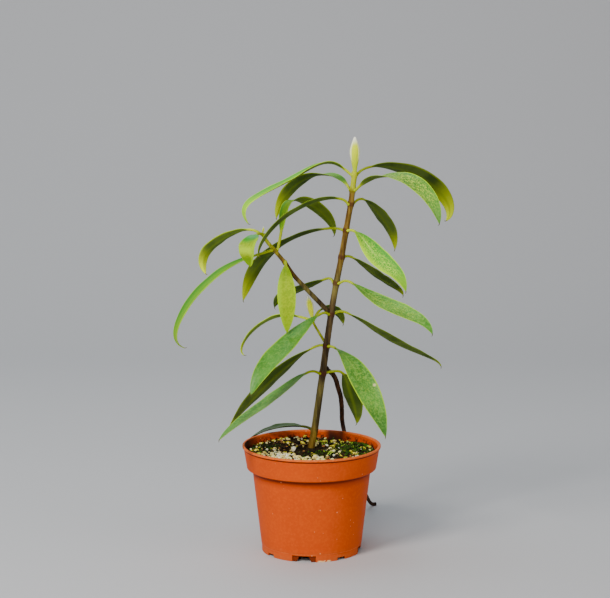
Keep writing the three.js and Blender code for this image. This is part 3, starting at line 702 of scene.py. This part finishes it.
def run_along(line):
    """The distance along a line of straight stretches up to each of its points."""
    return np.concatenate([[0], np.cumsum(np.linalg.norm(np.diff(line, axis=0), axis=1))])


def taken_at(distance, run, values):
    """Values that are known where the run is, a row for each, taken at other distances along it."""
    return np.stack([np.interp(distance, run, part) for part in values.T], -1)


def resampled(line, spacing):
    """Evenly spaced points along a line of straight stretches."""
    run = run_along(line)
    return taken_at(np.linspace(0, run[-1], int(run[-1] / spacing) + 1), run, line)


stem_foot = [[*STEM_FOOT, SOIL_LEVEL - STEM_HOLE_DEPTH + GAP], [*STEM_FOOT, SOIL_LEVEL - STEM_BEND_DEPTH]]
stem_line = resampled(np.concatenate([stem_foot, STEM_LINE, [STEM_END]]), STALK_SPACING)
stem_line[2:-2] = (stem_line[:-4] + stem_line[1:-3] + stem_line[2:-2] + stem_line[3:-1] + stem_line[4:]) / 5
height = stem_line[:, 2:]
from_node = np.abs(height - STEM_LINE[1:, 2]).min(1, keepdims=True)
swelling = np.exp(-((from_node / NODE_LENGTH) ** 2)) * np.interp(height, *STEM_SWELLING)
ring = np.exp(-(((from_node - RING_DISTANCE) / RING_LENGTH) ** 2))
angle = circle(STEM_SIDES)
ribs = 0.035 * np.cos(2 * angle) + 0.02 * np.cos(5 * angle + 1) + 0.012 * np.cos(9 * angle)
wander = 0.06 * np.sin(0.21 * height) * np.sin(angle + 0.05 * height)
radius = stem_radius(height) * (1 + ribs) + NODE_SWELLING * swelling + RING_HEIGHT * ring + wander
main_stem = stalk("woody_stem", stem_line, radius, np.interp(height[:, 0], *STEM_YOUTH), swelling[:, 0])
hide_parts("main_stem")

# Bark: dark brown where old, grey-brown low down, golden where younger and yellow-green where new, with fine
# streaks along the stem and a dark red-brown band at each node.
streaks, asked, streaks_out = new_effect("streaks", {"Scale": 900, "Length": 0.1}, ["Broad", "Fine"])
squeeze = put(streaks, "CombineXYZ", {"X": 1, "Y": 1, "Z": asked["Length"]}).outputs[0]
squeezed = put(streaks, "VectorMath", {0: object_place(streaks), 1: squeeze}, operation="MULTIPLY")
for label, factor in (("Broad", 0.35), ("Fine", 1)):
    values = {"Vector": squeezed.outputs[0], "Scale": product(asked["Scale"], factor), "Detail": 3}
    feed(streaks_out, {label: put(streaks, "TexNoise", values).outputs["Fac"]})


def read(tree, name):
    """The number that a piece stores for its points under a name."""
    return put(tree, "Attribute", attribute_name=name).outputs["Fac"]


bark, tree, shader = new_finish("bark")
broad, fine = place_effect(tree, streaks, scale=900, length=0.12)
youth, node = read(tree, "youth"), read(tree, "node")
streaky = ease(broad, 0.35, 0.65)
tone = layered(
    mix(streaky, (0.03, 0.017, 0.005), (0.12, 0.075, 0.022)),
    (ease(youth, 0.02, 0.14), mix(streaky, (0.05, 0.036, 0.009), (0.2, 0.16, 0.034))),
    (ease(youth, 0.18, 0.36), mix(streaky, (0.085, 0.038, 0.003), (0.28, 0.17, 0.018))),
    (ease(youth, 0.55, 0.9), mix(streaky, (0.28, 0.33, 0.003), (0.5, 0.54, 0.008))),
    (ease(fine, 0.55, 0.75, 0, 0.5), (0.02, 0.01, 0.002)),
    (product(ease(node, 0.3, 0.9, 0, 0.75), ease(youth, 0.9, 0.5)), (0.07, 0.015, 0.003)),
)
dress(shader, tone, ease(youth, 0.3, 0.9, 0.62, 0.45), 0.2, fine, 0.5, 0.0005)
main_stem.data.materials.append(bark)

# Side branch, young shoot and aerial root: thinner stalks along smooth lines. The branch and the shoot have
# nodes of their own, and the root is bare, very dark and slightly knobbly.
BRANCH_LINE = np.array([
    [13.2, 1.9, 210.3], [7.1, -0.1, 217], [-4.2, -3.8, 229.3], [-15.5, -7.4, 242.2], [-22.7, -9.8, 253],
    [-31.5, -12.6, 264], [-38.4, -14.9, 272.7], [-41, -15.7, 278],
])
SHOOT_LINE = np.array([
    [10.5, 6.4, 183.2], [5.5, 10.5, 191], [1.7, 13.6, 197.3], [0.9, 14.4, 200],
])
ROOT_LINE = np.array([
    [12.6, 7.7, 158.4], [14.3, 12.5, 155.7], [18.2, 17.4, 151.8], [21.2, 19, 146.4], [22.9, 22, 139.6],
    [25.5, 28, 130], [26.8, 36, 117], [27.2, 45, 106], [28.6, 56, 95.6], [34, 80, 70], [43, 108, 41],
    [51.5, 131, 14.5], [55.3, 139, 5.4], [58, 142.3, 2.1], [61.5, 144, 1.7],
])
ROD_SPACING = 0.7
ROD_SIDES = 20
ROD_NODE_LENGTH = 2.2
ROD_NODE_SWELLING = 0.35
ROD_OVAL = 0.03
BRANCH_YOUTH = (0.02, 0.06, 0.12, 0.25, 0.4, 0.6, 0.75, 0.9)


def blend(t, start, end, first, last):
    """Goes evenly from the first place to the last one while t goes from start to end."""
    return (end - t) / (end - start) * first + (t - start) / (end - start) * last


def smooth_line(places, spacing):
    """A smooth curve through the places. Between two of them it blends the two parabola-like arcs that also
    pass through the places before and after, with the square roots of the distances as its clock."""
    ends = np.concatenate([[2 * places[0] - places[1]], places, [2 * places[-1] - places[-2]]])
    stretches = []
    for four in zip(ends[:-3], ends[1:-2], ends[2:-1], ends[3:]):
        clock = np.cumsum([0] + [np.linalg.norm(b - a) ** 0.5 for a, b in zip(four[:-1], four[1:])])
        t = np.linspace(clock[1], clock[2], 40, endpoint=False)[:, None]
        sides = [blend(t, clock[k], clock[k + 1], four[k], four[k + 1]) for k in range(3)]
        arcs = [blend(t, clock[k], clock[k + 2], sides[k], sides[k + 1]) for k in range(2)]
        stretches.append(blend(t, clock[1], clock[2], *arcs))
    return resampled(np.concatenate(stretches + [places[-1:]]), spacing)


def rod(name, places, radii, youths, nodes, lead, knobs):
    """A stalk through the places, started a little inside what it grows from. Its radius and youth go evenly
    from end to end, and it has a swelling at each node and small knobs."""
    line = smooth_line(places, ROD_SPACING)
    start = line[0] - lead * unit(line[1] - line[0])
    line = np.concatenate([np.linspace(start, line[0], 4, endpoint=False), line])
    share = np.linspace(0, 1, len(line))
    near = np.exp(-((np.linalg.norm(line[:, None] - nodes, axis=2).min(1) / ROD_NODE_LENGTH) ** 2))
    angle = circle(ROD_SIDES)
    run = ROD_SPACING * np.arange(len(line))[:, None]
    knobby = np.sin(0.9 * run + 2 * np.sin(angle)) * np.sin(0.37 * run + angle)
    radius = np.interp(share, [0, 1], radii)[:, None]
    radius = radius * (1 + ROD_OVAL * np.cos(2 * angle) + knobs * knobby) + ROD_NODE_SWELLING * near[:, None]
    return stalk(name, line, radius, np.interp(share, np.linspace(0, 1, len(youths)), youths), near)


side_branch = rod("branch", BRANCH_LINE, (2.1, 1.5), BRANCH_YOUTH, BRANCH_LINE[[4, 5, 7]], 1.6, 0.01)
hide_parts("side_branch")
side_branch.data.materials.append(bark)
side_shoot = rod("shoot", SHOOT_LINE, (1.2, 1), (0.7, 1, 1), SHOOT_LINE[[3]], 1.4, 0.01)
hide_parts("side_shoot")
side_shoot.data.materials.append(bark)
aerial_root = rod("root", ROOT_LINE, (2.1, 1.6), (0, 0), ROOT_LINE[[0]], 1.2, 0.045)
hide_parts("aerial_root")

root_bark, tree, shader = new_finish("root_bark")
broad = place_effect(tree, streaks, scale=800, length=0.3)[0]
fine = place_effect(tree, mottle, broad_scale=60, fine_scale=700)[1]
tone = layered(
    mix(ease(broad, 0.35, 0.65), (0.017, 0.007, 0.003), (0.075, 0.028, 0.01)),
    (ease(fine, 0.55, 0.75, 0, 0.5), (0.1, 0.05, 0.025)),
)
dress(shader, tone, 0.7, 0.2, fine, 0.5, 0.0005)
aerial_root.data.materials.append(root_bark)

# Buds: two young leaves pressed face to face, narrow at the neck, widest past the middle and drawn out to a
# fine tip. The seam between them runs down both sides. Each row gives the foot, the direction, the length,
# the width, the depth and how much painted light brightens the bud.
BUD_OUTLINE = np.array([[0, 0.36], [0.1, 0.43], [0.22, 0.59], [0.36, 0.8], [0.5, 0.96], [0.64, 0.91],
                        [0.78, 0.65], [0.9, 0.39], [1, 0.14]])
BUDS = {
    "terminal_bud": ((36.5, 0, 330), (0, 0, 1), 29, 9.4, 5.6, 0),
    "shoot_bud": ((0.7, 14.6, 201.2), (-0.2, 0.17, 1), 20.2, 6.8, 4.6, 1),
    "branch_bud": ((-41.4, -15.9, 278.4), (0.15, 0, 1), 6.5, 2.2, 1.8, 0),
}
BUD_SIDES = 32
BUD_RINGS = 60
SEAM_PLACE = 0.4
SEAM_TWIST = 1.1
SEAM_WIDTH = 0.18
SEAM_DEPTH = 0.25


def bud_surface(foot, direction, length, width, depth):
    """Rings along the bud's axis. Each is an ellipse whose size follows the outline, pinched where the two
    leaves meet, on a seam that winds a little round the bud. The first ring is a little below the foot."""
    along = unit(np.array(direction))
    side = unit(np.array([1, 0, 0]) - along[0] * along)
    other = np.cross(along, side)
    share = np.concatenate([[-0.06], np.linspace(0, 1, BUD_RINGS)])[:, None]
    reach = np.clip(share, 0, 1)
    swell = np.interp(share, *BUD_OUTLINE.T)
    swell[1:-1] = (swell[:-2] + 2 * swell[1:-1] + swell[2:]) / 4
    angle = circle(BUD_SIDES)
    from_seam = np.sin(angle + SEAM_TWIST * (share - SEAM_PLACE))
    pinch = 1 - SEAM_DEPTH * np.exp(-((from_seam / SEAM_WIDTH) ** 2)) * np.sin(np.pi * reach)
    across = 0.5 * width * swell * np.cos(angle) * pinch
    deep = 0.5 * depth * swell * np.sin(angle) * pinch
    middle = np.array(foot) + share * length * along
    return middle[:, None] + across[..., None] * side + deep[..., None] * other, reach


bud_skin, tree, shader = new_finish("bud_skin")
broad, fine = place_effect(tree, streaks, scale=700, length=0.12)
reach = read(tree, "reach")
tone = layered(
    mix(ease(reach, 0.05, 0.6), (0.5, 0.62, 0.0003), (0.72, 0.83, 0.0005)),
    (ease(broad, 0.45, 0.65, 0, 0.5), (0.42, 0.54, 0.0003)),
    # Painted light: the shoot bud is made paler to stand in for light it misses in the shade of the hanging
    # leaf.
    (read(tree, "paleness"), (0.9, 0.98, 0.008)),
    (product(ease(read(tree, "edge"), 0.5, 0.85, 0, 0.9), ease(reach, 0.2, 0.5)), (0.98, 0.98, 0.6)),
    (ease(reach, 0.72, 0.97), (0.98, 0.98, 0.8)),
)
dress(shader, tone, 0.45, 0.1, fine, 0.2, 0.0003)
for name, (*form, paleness) in BUDS.items():
    points, reach = bud_surface(*form)
    bud = make_piece("pale_" + name, points * MM, tube_faces(points))
    set_values(bud, points.shape[:2], reach=reach, paleness=paleness, edge=np.abs(np.cos(circle(BUD_SIDES))))
    bud.data.materials.append(bud_skin)
    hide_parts(name)
    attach(bud, "root")

# Leaves: thick, leathery and satin, each with a round yellow-green petiole. The blade is widest near its
# middle, slightly cupped, with a groove along the upper midrib, a rib below, a pale thin margin and a small
# dark point that hooks inwards.
SEAT_GAP = 0.35
STALK_LEAD = (-1.6, -0.8)
LEAF_LOOP = 36
MIDRIB_STEPS = 401
BLADE_LOOPS = 70
PETIOLE_LOOPS = 14
BLADE_EDGE = 0.6
BLADE_MIDDLE = 1.3
PETIOLE_WIDTH = 2.6
PETIOLE_DEPTH = 2.2
FLARE = 0.25
FLARE_RUN = 1.5
FOOT_RUN = 4
FLAT_WIDTH = 6
TIP_WIDTH = 0.8
TIP_THINNING = 8
HOOK_RUN = np.array([0.6, 1.2, 1.8, 2.4])
HOOK_BEND = 1.2
CUPPING = 0.2
GROOVE_DEPTH = 0.22
RIB_HEIGHT = 0.3
RIB_REACH = 0.8
RIPPLE = 0.2
PHASE_STEP = 1.7
PLAIN_SPECKLE = 0.1
LEAF_VALUES = ("along", "across", "youth", "backlight_and_freshness", "lightness", "speckle")

# Each row: the bearing it leaves in, its greatest width, the length of its petiole, four handles of its
# midrib as out and up from its place, the turns of its blade at the petiole, the middle and the tip, then
# how young it is, how much painted light shines through its tip below, which also shapes its fresh colour
# above, how light and, unless plain, how speckled. Its place is a node of its stem and how far from the
# node's middle the petiole starts.
LEAVES = {
    "leaf_1_right": (40, 19, 15, (15, 13, 72, 10, 131, -31, 109, -47), (-27, -28, -46), (0.5, 1, -0.2)),
    "leaf_1_left": (200, 16, 7, (41, 35, 36, -23, 116, -4, 95, -38), (12, 3, -12), (0.7, 0.3, 0.45)),
    "leaf_2_right": (-35, 18, 6, (17, 15, 52, 24, 81, 5, 86, -23), (-29, 19, 25), (0.3, 0.2, 0.05, 1)),
    "leaf_2_left": (145, 16, 5, (9, 16, 53, 23, 77, -11, 80, -29), (-20, 17, 30), (0.4, 0.8, 0, 0.3)),
    "leaf_3_right": (50, 15, 14, (25, 15, 38, -22, 60, -19, 62, -45), (10, -5, 10), (0.3, 0.7, -0.15)),
    "leaf_3_left": (210, 15, 11, (8, 14, 69, 6, 93, -31, 89, -39), (23, 31, 51), (0.2, 0, 0.1)),
    "leaf_4_right": (-50, 19, 8, (22, 7, 40, -38, 60, -18, 75, -44), (-6, 21, -4), (0.6, 0.2, 0.36, 0.9)),
    "leaf_4_left": (145, 17, 18, (21, 6, 72, -14, 99, -29, 110, -70), (23, 7, 70), (0.3, 0.7, -0.2)),
    "leaf_5_right": (40, 15, 9, (18, 3, 29, -21, 68, -31, 72, -40), (2, -9, -15), (0.1, 0.4, -0.1)),
    "leaf_6_right": (-40, 18, 15, (23, 14, 28, -26, 90, -10, 102, -33), (-7, 19, 15), (0.3, 0.2, 0.12, 0.5)),
    "leaf_6_left": (140, 16, 12, (10, 13, 23, -15, 65, -9, 70, -28), (17, 16, 42), (0, 0, -0.1)),
    "leaf_7_right": (40, 18, 16, (25, 11, 62, -46, 122, -46, 132, -62), (11, -6, 9), (0.1, 0.3, 0.3)),
    "leaf_7_left": (220, 20, 11, (16, 12, 54, -37, 70, -23, 88, -59), (7, -16, -24), (0.4, 0.2, -0.2, 0.15)),
    "leaf_8_right": (-52, 21, 8, (24, 4, 52, -26, 66, -40, 79, -66), (-29, 22, -9), (0.15, 0.2, -0.05, 0.3)),
    "leaf_8_left": (140, 19, 13, (20, 1, 66, -39, 94, -65, 115, -90), (-6, 14, -17), (0.1, 0.3, 0.4)),
    "leaf_9_left": (215, 19, 14, (22, 13, 36, -20, 78, -24, 106, -45), (4, 5, 7), (0.2, 0.2, -0.18, 0.15)),
    "leaf_9_right": (28, 18, 17, (32, 4, 15, -10, 35, -25, 34, -48), (-22, -28, -7), (0, 0.3, -0.1)),
    "leaf_10_left": (135, 14, 11, (12, 5, 53, -5, 65, -10, 84, -22), (6, -15, -18), (0, 0, -0.77)),
    "branch_leaf_front": (240, 17, 9, (8, 6, 30, -9, 28, -5, 21, -25), (-3, 7, 9), (1, 1, -0.2)),
    "branch_leaf_left": (160, 14, 12, (18, 12, 34, -8, 64, -12, 53, -36), (22, 25, 42), (0.7, 1, 0.35)),
    "branch_leaf_long": (200, 15, 13, (33, -8, 54, -7, 108, -68, 80, -79), (-6, -5, -6), (0.7, 0.5, -0.12)),
    "branch_leaf_arching": (40, 15, 16, (17, 42, -3, 60, 69, 31, 67, 8), (16, -22, -33), (0.8, 0.1, -0.08)),
    "branch_leaf_hanging": (
        278, 16, 6, (7, 9, 6, -16, 10, -41, 12, -58), (30, -5, -20), (1, 0, -0.05, 0.15)),
    "shoot_leaf_left": (175, 12, 10, (21, 5, 35, 13, 71, -23, 60, -32), (30, 13, 12), (0.5, 0.6, 1)),
    "shoot_leaf_right": (30, 12, 9, (8, 18, 25, 6, 27, 4, 31, -6), (-33, -26, -13), (0.1, 0.3, 0)),
}
LEAF_PLACES = {
    "branch_leaf_front": (BRANCH_LINE[7], 2),
    "branch_leaf_left": (BRANCH_LINE[7], 2),
    "branch_leaf_long": (BRANCH_LINE[5], 3.3),
    "branch_leaf_arching": (BRANCH_LINE[5], 3.3),
    "branch_leaf_hanging": (BRANCH_LINE[4], 2),
    "shoot_leaf_left": (SHOOT_LINE[3], 1.7),
    "shoot_leaf_right": (SHOOT_LINE[3], 1.7),
}
for k, place in enumerate(STEM_LINE[:0:-1]):
    for hand in ("left", "right"):
        LEAF_PLACES[f"leaf_{k + 1}_{hand}"] = (place, stem_radius(place[2]) + NODE_SWELLING + SEAT_GAP)


def three_way(values, s):
    """The smooth value at a share s of a run that has the given values at its start, middle and end."""
    start, middle, end = values
    return start * (1 - s) * (1 - 2 * s) + 4 * middle * s * (1 - s) + end * s * (2 * s - 1)


def leaf_surface(place, seat, azimuth, width, petiole, handles, turns, phase):
    """Loops round the midrib, the curve of fourth degree over the seat and its four handles in the upright
    plane of the bearing. The blade's half width is 2.73 s^0.7 (1-s)^0.75 of its greatest at a share s of its
    length. Its thickness falls from the midrib to the margin, and it passes over into the petiole's ellipse
    where it is narrow. Past the end it tapers on along a small arc that bends inwards. The shares given with
    the points are counted up towards the tip and towards the viewer."""
    bearing = np.radians(azimuth)
    outward = np.array([np.cos(bearing), np.sin(bearing), 0])
    across = np.array([-np.sin(bearing), np.cos(bearing), 0])
    plane = np.array([outward, [0, 0, 1]])
    t = np.linspace(0, 1, MIDRIB_STEPS)[:, None]
    weights = [(1 - t) ** 4, 4 * t * (1 - t) ** 3, 6 * t ** 2 * (1 - t) ** 2, 4 * t ** 3 * (1 - t), t ** 4]
    midrib = sum(weight * handle for weight, handle in zip(weights, np.reshape([seat, 0, *handles], (5, 2))))
    run = run_along(midrib)
    total = run[-1]
    blade_run = petiole + (total - petiole) * (0.5 - 0.5 * np.cos(np.linspace(0, np.pi, BLADE_LOOPS)))
    petiole_run = np.linspace(0, petiole, PETIOLE_LOOPS, endpoint=False)
    distance = np.concatenate([STALK_LEAD, petiole_run, blade_run, total + HOOK_RUN])
    here = taken_at(distance, run, midrib)
    here[:, 0] += np.minimum(distance, 0)
    slope = taken_at(distance, run, np.gradient(midrib, run, axis=0))
    heading = np.arctan2(slope[-1, 1], slope[-1, 0]) - HOOK_BEND * HOOK_RUN / HOOK_RUN[-1]
    slope[-len(HOOK_RUN):] = np.stack([np.cos(heading), np.sin(heading)], -1)
    here[-len(HOOK_RUN):] += np.cumsum(slope[-len(HOOK_RUN):], axis=0) * HOOK_RUN[0]
    distance = distance[:, None]
    level = np.clip(1 - distance / FOOT_RUN, 0, 1)
    along = unit(unit(slope @ plane) * (1 - level) + outward * level)
    s = np.clip((distance - petiole) / (total - petiole), 0, 1)
    turn = np.radians(three_way(turns, s)) * np.clip(distance / petiole, 0, 1)
    side = across * np.cos(turn) + np.cross(along, across) * np.sin(turn)
    face = np.cross(along, side)
    middle = place + here @ plane

    blade = 0.5 * width * 2.73 * s ** 0.7 * (1 - s) ** 0.75
    flare = 1 + FLARE * np.exp(-np.maximum(distance, 0) / FLARE_RUN)
    stalk_half = np.maximum(0.5 * PETIOLE_WIDTH * flare * (1 - s) ** 6, 0.5 * TIP_WIDTH * s)
    past = np.clip((distance - total) / HOOK_RUN[-1], 0, 1)
    half = np.hypot(blade, stalk_half) * (1 - 0.75 * past)
    flat = np.where(s > 0.5, 1, np.minimum(1, 2 * blade / FLAT_WIDTH))
    ridge = (BLADE_MIDDLE - BLADE_EDGE) * np.minimum(1, TIP_THINNING * (1 - s))
    u, up = np.cos(circle(LEAF_LOOP)), np.sin(circle(LEAF_LOOP))
    blade_half = 0.5 * (1 - 0.6 * past) * (BLADE_EDGE + ridge * (1 - np.abs(u)) ** 2)
    blade_half = blade_half * np.sign(up) * np.abs(up) ** 0.35
    lift = 0.5 * PETIOLE_DEPTH * flare * up * (1 - flat) + blade_half * flat + CUPPING * half * flat * u ** 2
    fade = flat * np.clip(1.2 - 1.3 * s, 0, 1)
    lift -= fade * np.exp(-((u * half / RIB_REACH) ** 2)) * np.where(up > 0, GROOVE_DEPTH, RIB_HEIGHT)
    ripple = np.sin(2 * np.pi * 3.2 * s + phase) + 0.6 * np.sin(2 * np.pi * 5.3 * s - 2 * phase) * u
    lift += RIPPLE * ripple * np.abs(u) ** 3 * np.sin(np.pi * s) * flat
    points = middle[:, None] + side[:, None] * (u * half)[..., None] + face[:, None] * lift[..., None]
    along_share = np.where(distance < petiole, 0.2 * (distance / petiole - 1), s + 0.02 * past)
    return points, along_share, -np.sign(np.cos(bearing)) * u


def finish_leaf(shader, skin, along, aside, lightness, fine, rough, gloss, vein_strength):
    """Adds what both faces share: a yellow-green petiole, each leaf's lightness, a dark tip, and slanting
    veins as relief."""
    light = reckon("ADD", lightness, 1)
    light = put(shader.id_data, "CombineXYZ", {"X": light, "Y": light, "Z": light}).outputs[0]
    skin = mix(1, mix(ease(along, 0.06, -0.02), skin, (0.4, 0.48, 0.008)), light, "MULTIPLY")
    skin = mix(ease(along, 0.99, 1.003, 0, 0.9), skin, (0.11, 0.09, 0.02))
    slanted = reckon("SINE", product(120, reckon("MULTIPLY_ADD", aside, -0.12, along)))
    dress(shader, skin, rough, gloss, reckon("MULTIPLY_ADD", slanted, 0.25, fine), vein_strength, 0.0004)


# Upper skin: mottled green under a thin wax, with a bright margin. Rather young leaves have a painted
# highlight on the side towards the viewer and painted shade on the one away from it, and the youngest a
# painted teal reflection at the foot, a painted highlight across the middle and a green end. Whitish specks
# of hard water and a pale midrib mark some leaves, and one has a small pale scar.
SCAR_PLACE = (0.0528, -0.0365, 0.1527)

upper_skin, tree, shader = new_finish("leaf_upper_skin")
along, across, youth, backlight_and_freshness, lightness, speckle = (read(tree, name) for name in LEAF_VALUES)
aside = reckon("ABSOLUTE", across)
broad, fine = place_effect(tree, mottle, broad_scale=45, fine_scale=420)
specks = place_effect(tree, dust, scale=900, share=0.9, size=0.3, cloud_scale=60)[0]
slanted = product(reckon("MULTIPLY_ADD", aside, -0.2, along), 90)
streak_place = put(tree, "CombineXYZ", {"X": slanted, "Y": product(across, 14), "Z": broad}).outputs[0]
spray = put(tree, "TexNoise", {"Vector": streak_place, "Scale": 1, "Detail": 4}).outputs["Fac"]
net = most(specks, ease(spray, 0.48, 0.62, 0, 0.75))
whitish = product(net, speckle, ease(along, 0.95, 0.7, 0.15, 1), ease(across, -0.95, -0.4, 0.2, 1))
fresh_end = reckon("MULTIPLY_ADD", backlight_and_freshness, 0.35, 0.05)
fresh = product(ease(youth, 0.6, 1), ease(along, reckon("SUBTRACT", fresh_end, 0.2), fresh_end))
youngest = product(backlight_and_freshness, ease(youth, 0.9, 1))
rather_young = ease(youth, 0.4, 0.7)
from_scar = put(tree, "VectorMath", {0: object_place(tree), 1: SCAR_PLACE}, operation="DISTANCE")
above = layered(
    mix(ease(broad, 0.35, 0.65), (0.05, 0.2, 0.022), (0.12, 0.36, 0.048)),
    (ease(fine, 0.45, 0.62, 0, 0.5), (0.22, 0.46, 0.08)),
    (ease(youth, 0.2, 0.8), (0.08, 0.38, 0.015)),
    (fresh, (0.39, 0.56, 0.0003)),
    (product(fresh, ease(fine, 0.42, 0.6, 0, 0.6)), (0.2, 0.38, 0.0003)),
    (product(youngest, band(along, 0.1, 0.36, 0.1), ease(across, 0.6, -0.5)), (0.04, 0.38, 0.001)),
    (product(youngest, ease(along, 0.68, 0.82)), (0.13, 0.31, 0.0005)),
    # Painted highlight across the middle of the youngest leaves.
    (product(youngest, band(along, 0.5, 0.66, 0.06), 0.8), (0.62, 0.94, 0.001)),
    (product(speckle, ease(spray, 0.52, 0.42, 0, 0.4)), (0.03, 0.14, 0.005)),
    (product(whitish, 0.8), (0.68, 0.84, 0.07)),
    (product(ease(aside, 0.11, 0.03), ease(along, 0.5, 0.15, 0, 0.8), speckle), (0.5, 0.7, 0.12)),
    # Painted shade on the side of rather young leaves away from the viewer.
    (product(rather_young, ease(youth, 0.95, 0.85), ease(across, -0.1, -0.9, 0, 0.7)), (0.02, 0.19, 0.03)),
    (product(rather_young, ease(along, 0.7, 0.95, 0, 0.6)), (0.32, 0.54, 0.0003)),
    # Painted highlight on the side of rather young leaves towards the viewer.
    (product(rather_young, ease(across, 0.3, 0.9)), (0.46, 0.74, 0.0005)),
    (ease(aside, 0.87, 0.96, 0, 0.85), (0.46, 0.74, 0.004)),
    (ease(from_scar.outputs["Value"], 0.0018, 0.0009, 0, 0.8), (0.75, 0.7, 0.3)),
    (ease(along, 0.3, 0.02, 0, 0.4), (0.05, 0.2, 0.01)),
    # Painted reflection: a teal sheen at the foot of the youngest leaves.
    (product(youngest, ease(along, 0.28, 0.12)), (0.13, 0.45, 0.13)),
)
satin = reckon("MULTIPLY_ADD", whitish, 0.25, ease(fine, 0.3, 0.7, 0.34, 0.46))
finish_leaf(shader, above, along, aside, lightness, fine, satin, 0.08, 0.15)
feed(shader, {"Coat Weight": ease(youth, 0.3, 0.65, 0.35, 0.02), "Coat Roughness": 0.35, "Coat IOR": 1.4})

# Under skin: matt dark olive with a slightly paler rib. Painted light shining through turns it yellow-green
# towards the tip, sooner on young leaves.
under_skin, tree, shader = new_finish("leaf_under_skin")
along, across, youth, backlight_and_freshness, lightness, _ = (read(tree, name) for name in LEAF_VALUES)
aside = reckon("ABSOLUTE", across)
broad, fine = place_effect(tree, mottle, broad_scale=45, fine_scale=420)
backlit_end = ease(along, reckon("MULTIPLY_ADD", backlight_and_freshness, -0.35, 0.94), 1)
below = layered(
    mix(ease(broad, 0.35, 0.65), (0.046, 0.08, 0.012), (0.1, 0.152, 0.022)),
    # Painted light shining through the leaf towards its tip.
    (product(backlit_end, backlight_and_freshness), (0.66, 0.78, 0.0005)),
    (ease(youth, 0.75, 1, 0, 0.85), (0.4, 0.55, 0.001)),
    (ease(aside, 0.35, 0, 0, 0.45), (0.18, 0.26, 0.012)),
    (product(ease(aside, 0.82, 0.94, 0, 0.8), ease(youth, 0.2, 0.6, 0.3, 1)), (0.34, 0.46, 0.01)),
)
finish_leaf(shader, below, along, aside, lightness, fine, 0.75, 0.2, 0.1)
feed(shader, {"IOR": 1.25})

for number, (name, (*form, looks)) in enumerate(LEAVES.items()):
    points, along, across = leaf_surface(*LEAF_PLACES[name], *form, PHASE_STEP * number)
    leaf = make_piece("living_" + name, points * MM, tube_faces(points))
    looks = dict(zip(LEAF_VALUES[2:], (*looks, PLAIN_SPECKLE)))
    set_values(leaf, points.shape[:2], along=along, across=across, **looks)
    leaf.data.materials.append(upper_skin)
    leaf.data.materials.append(under_skin)
    lower_half = np.arange(LEAF_LOOP) >= LEAF_LOOP // 2
    lower_faces = np.append(np.tile(lower_half, len(points) - 1), [0, 0]).astype(np.int32)
    leaf.data.polygons.foreach_set("material_index", lower_faces)
    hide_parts(name)
    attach(leaf, "root")
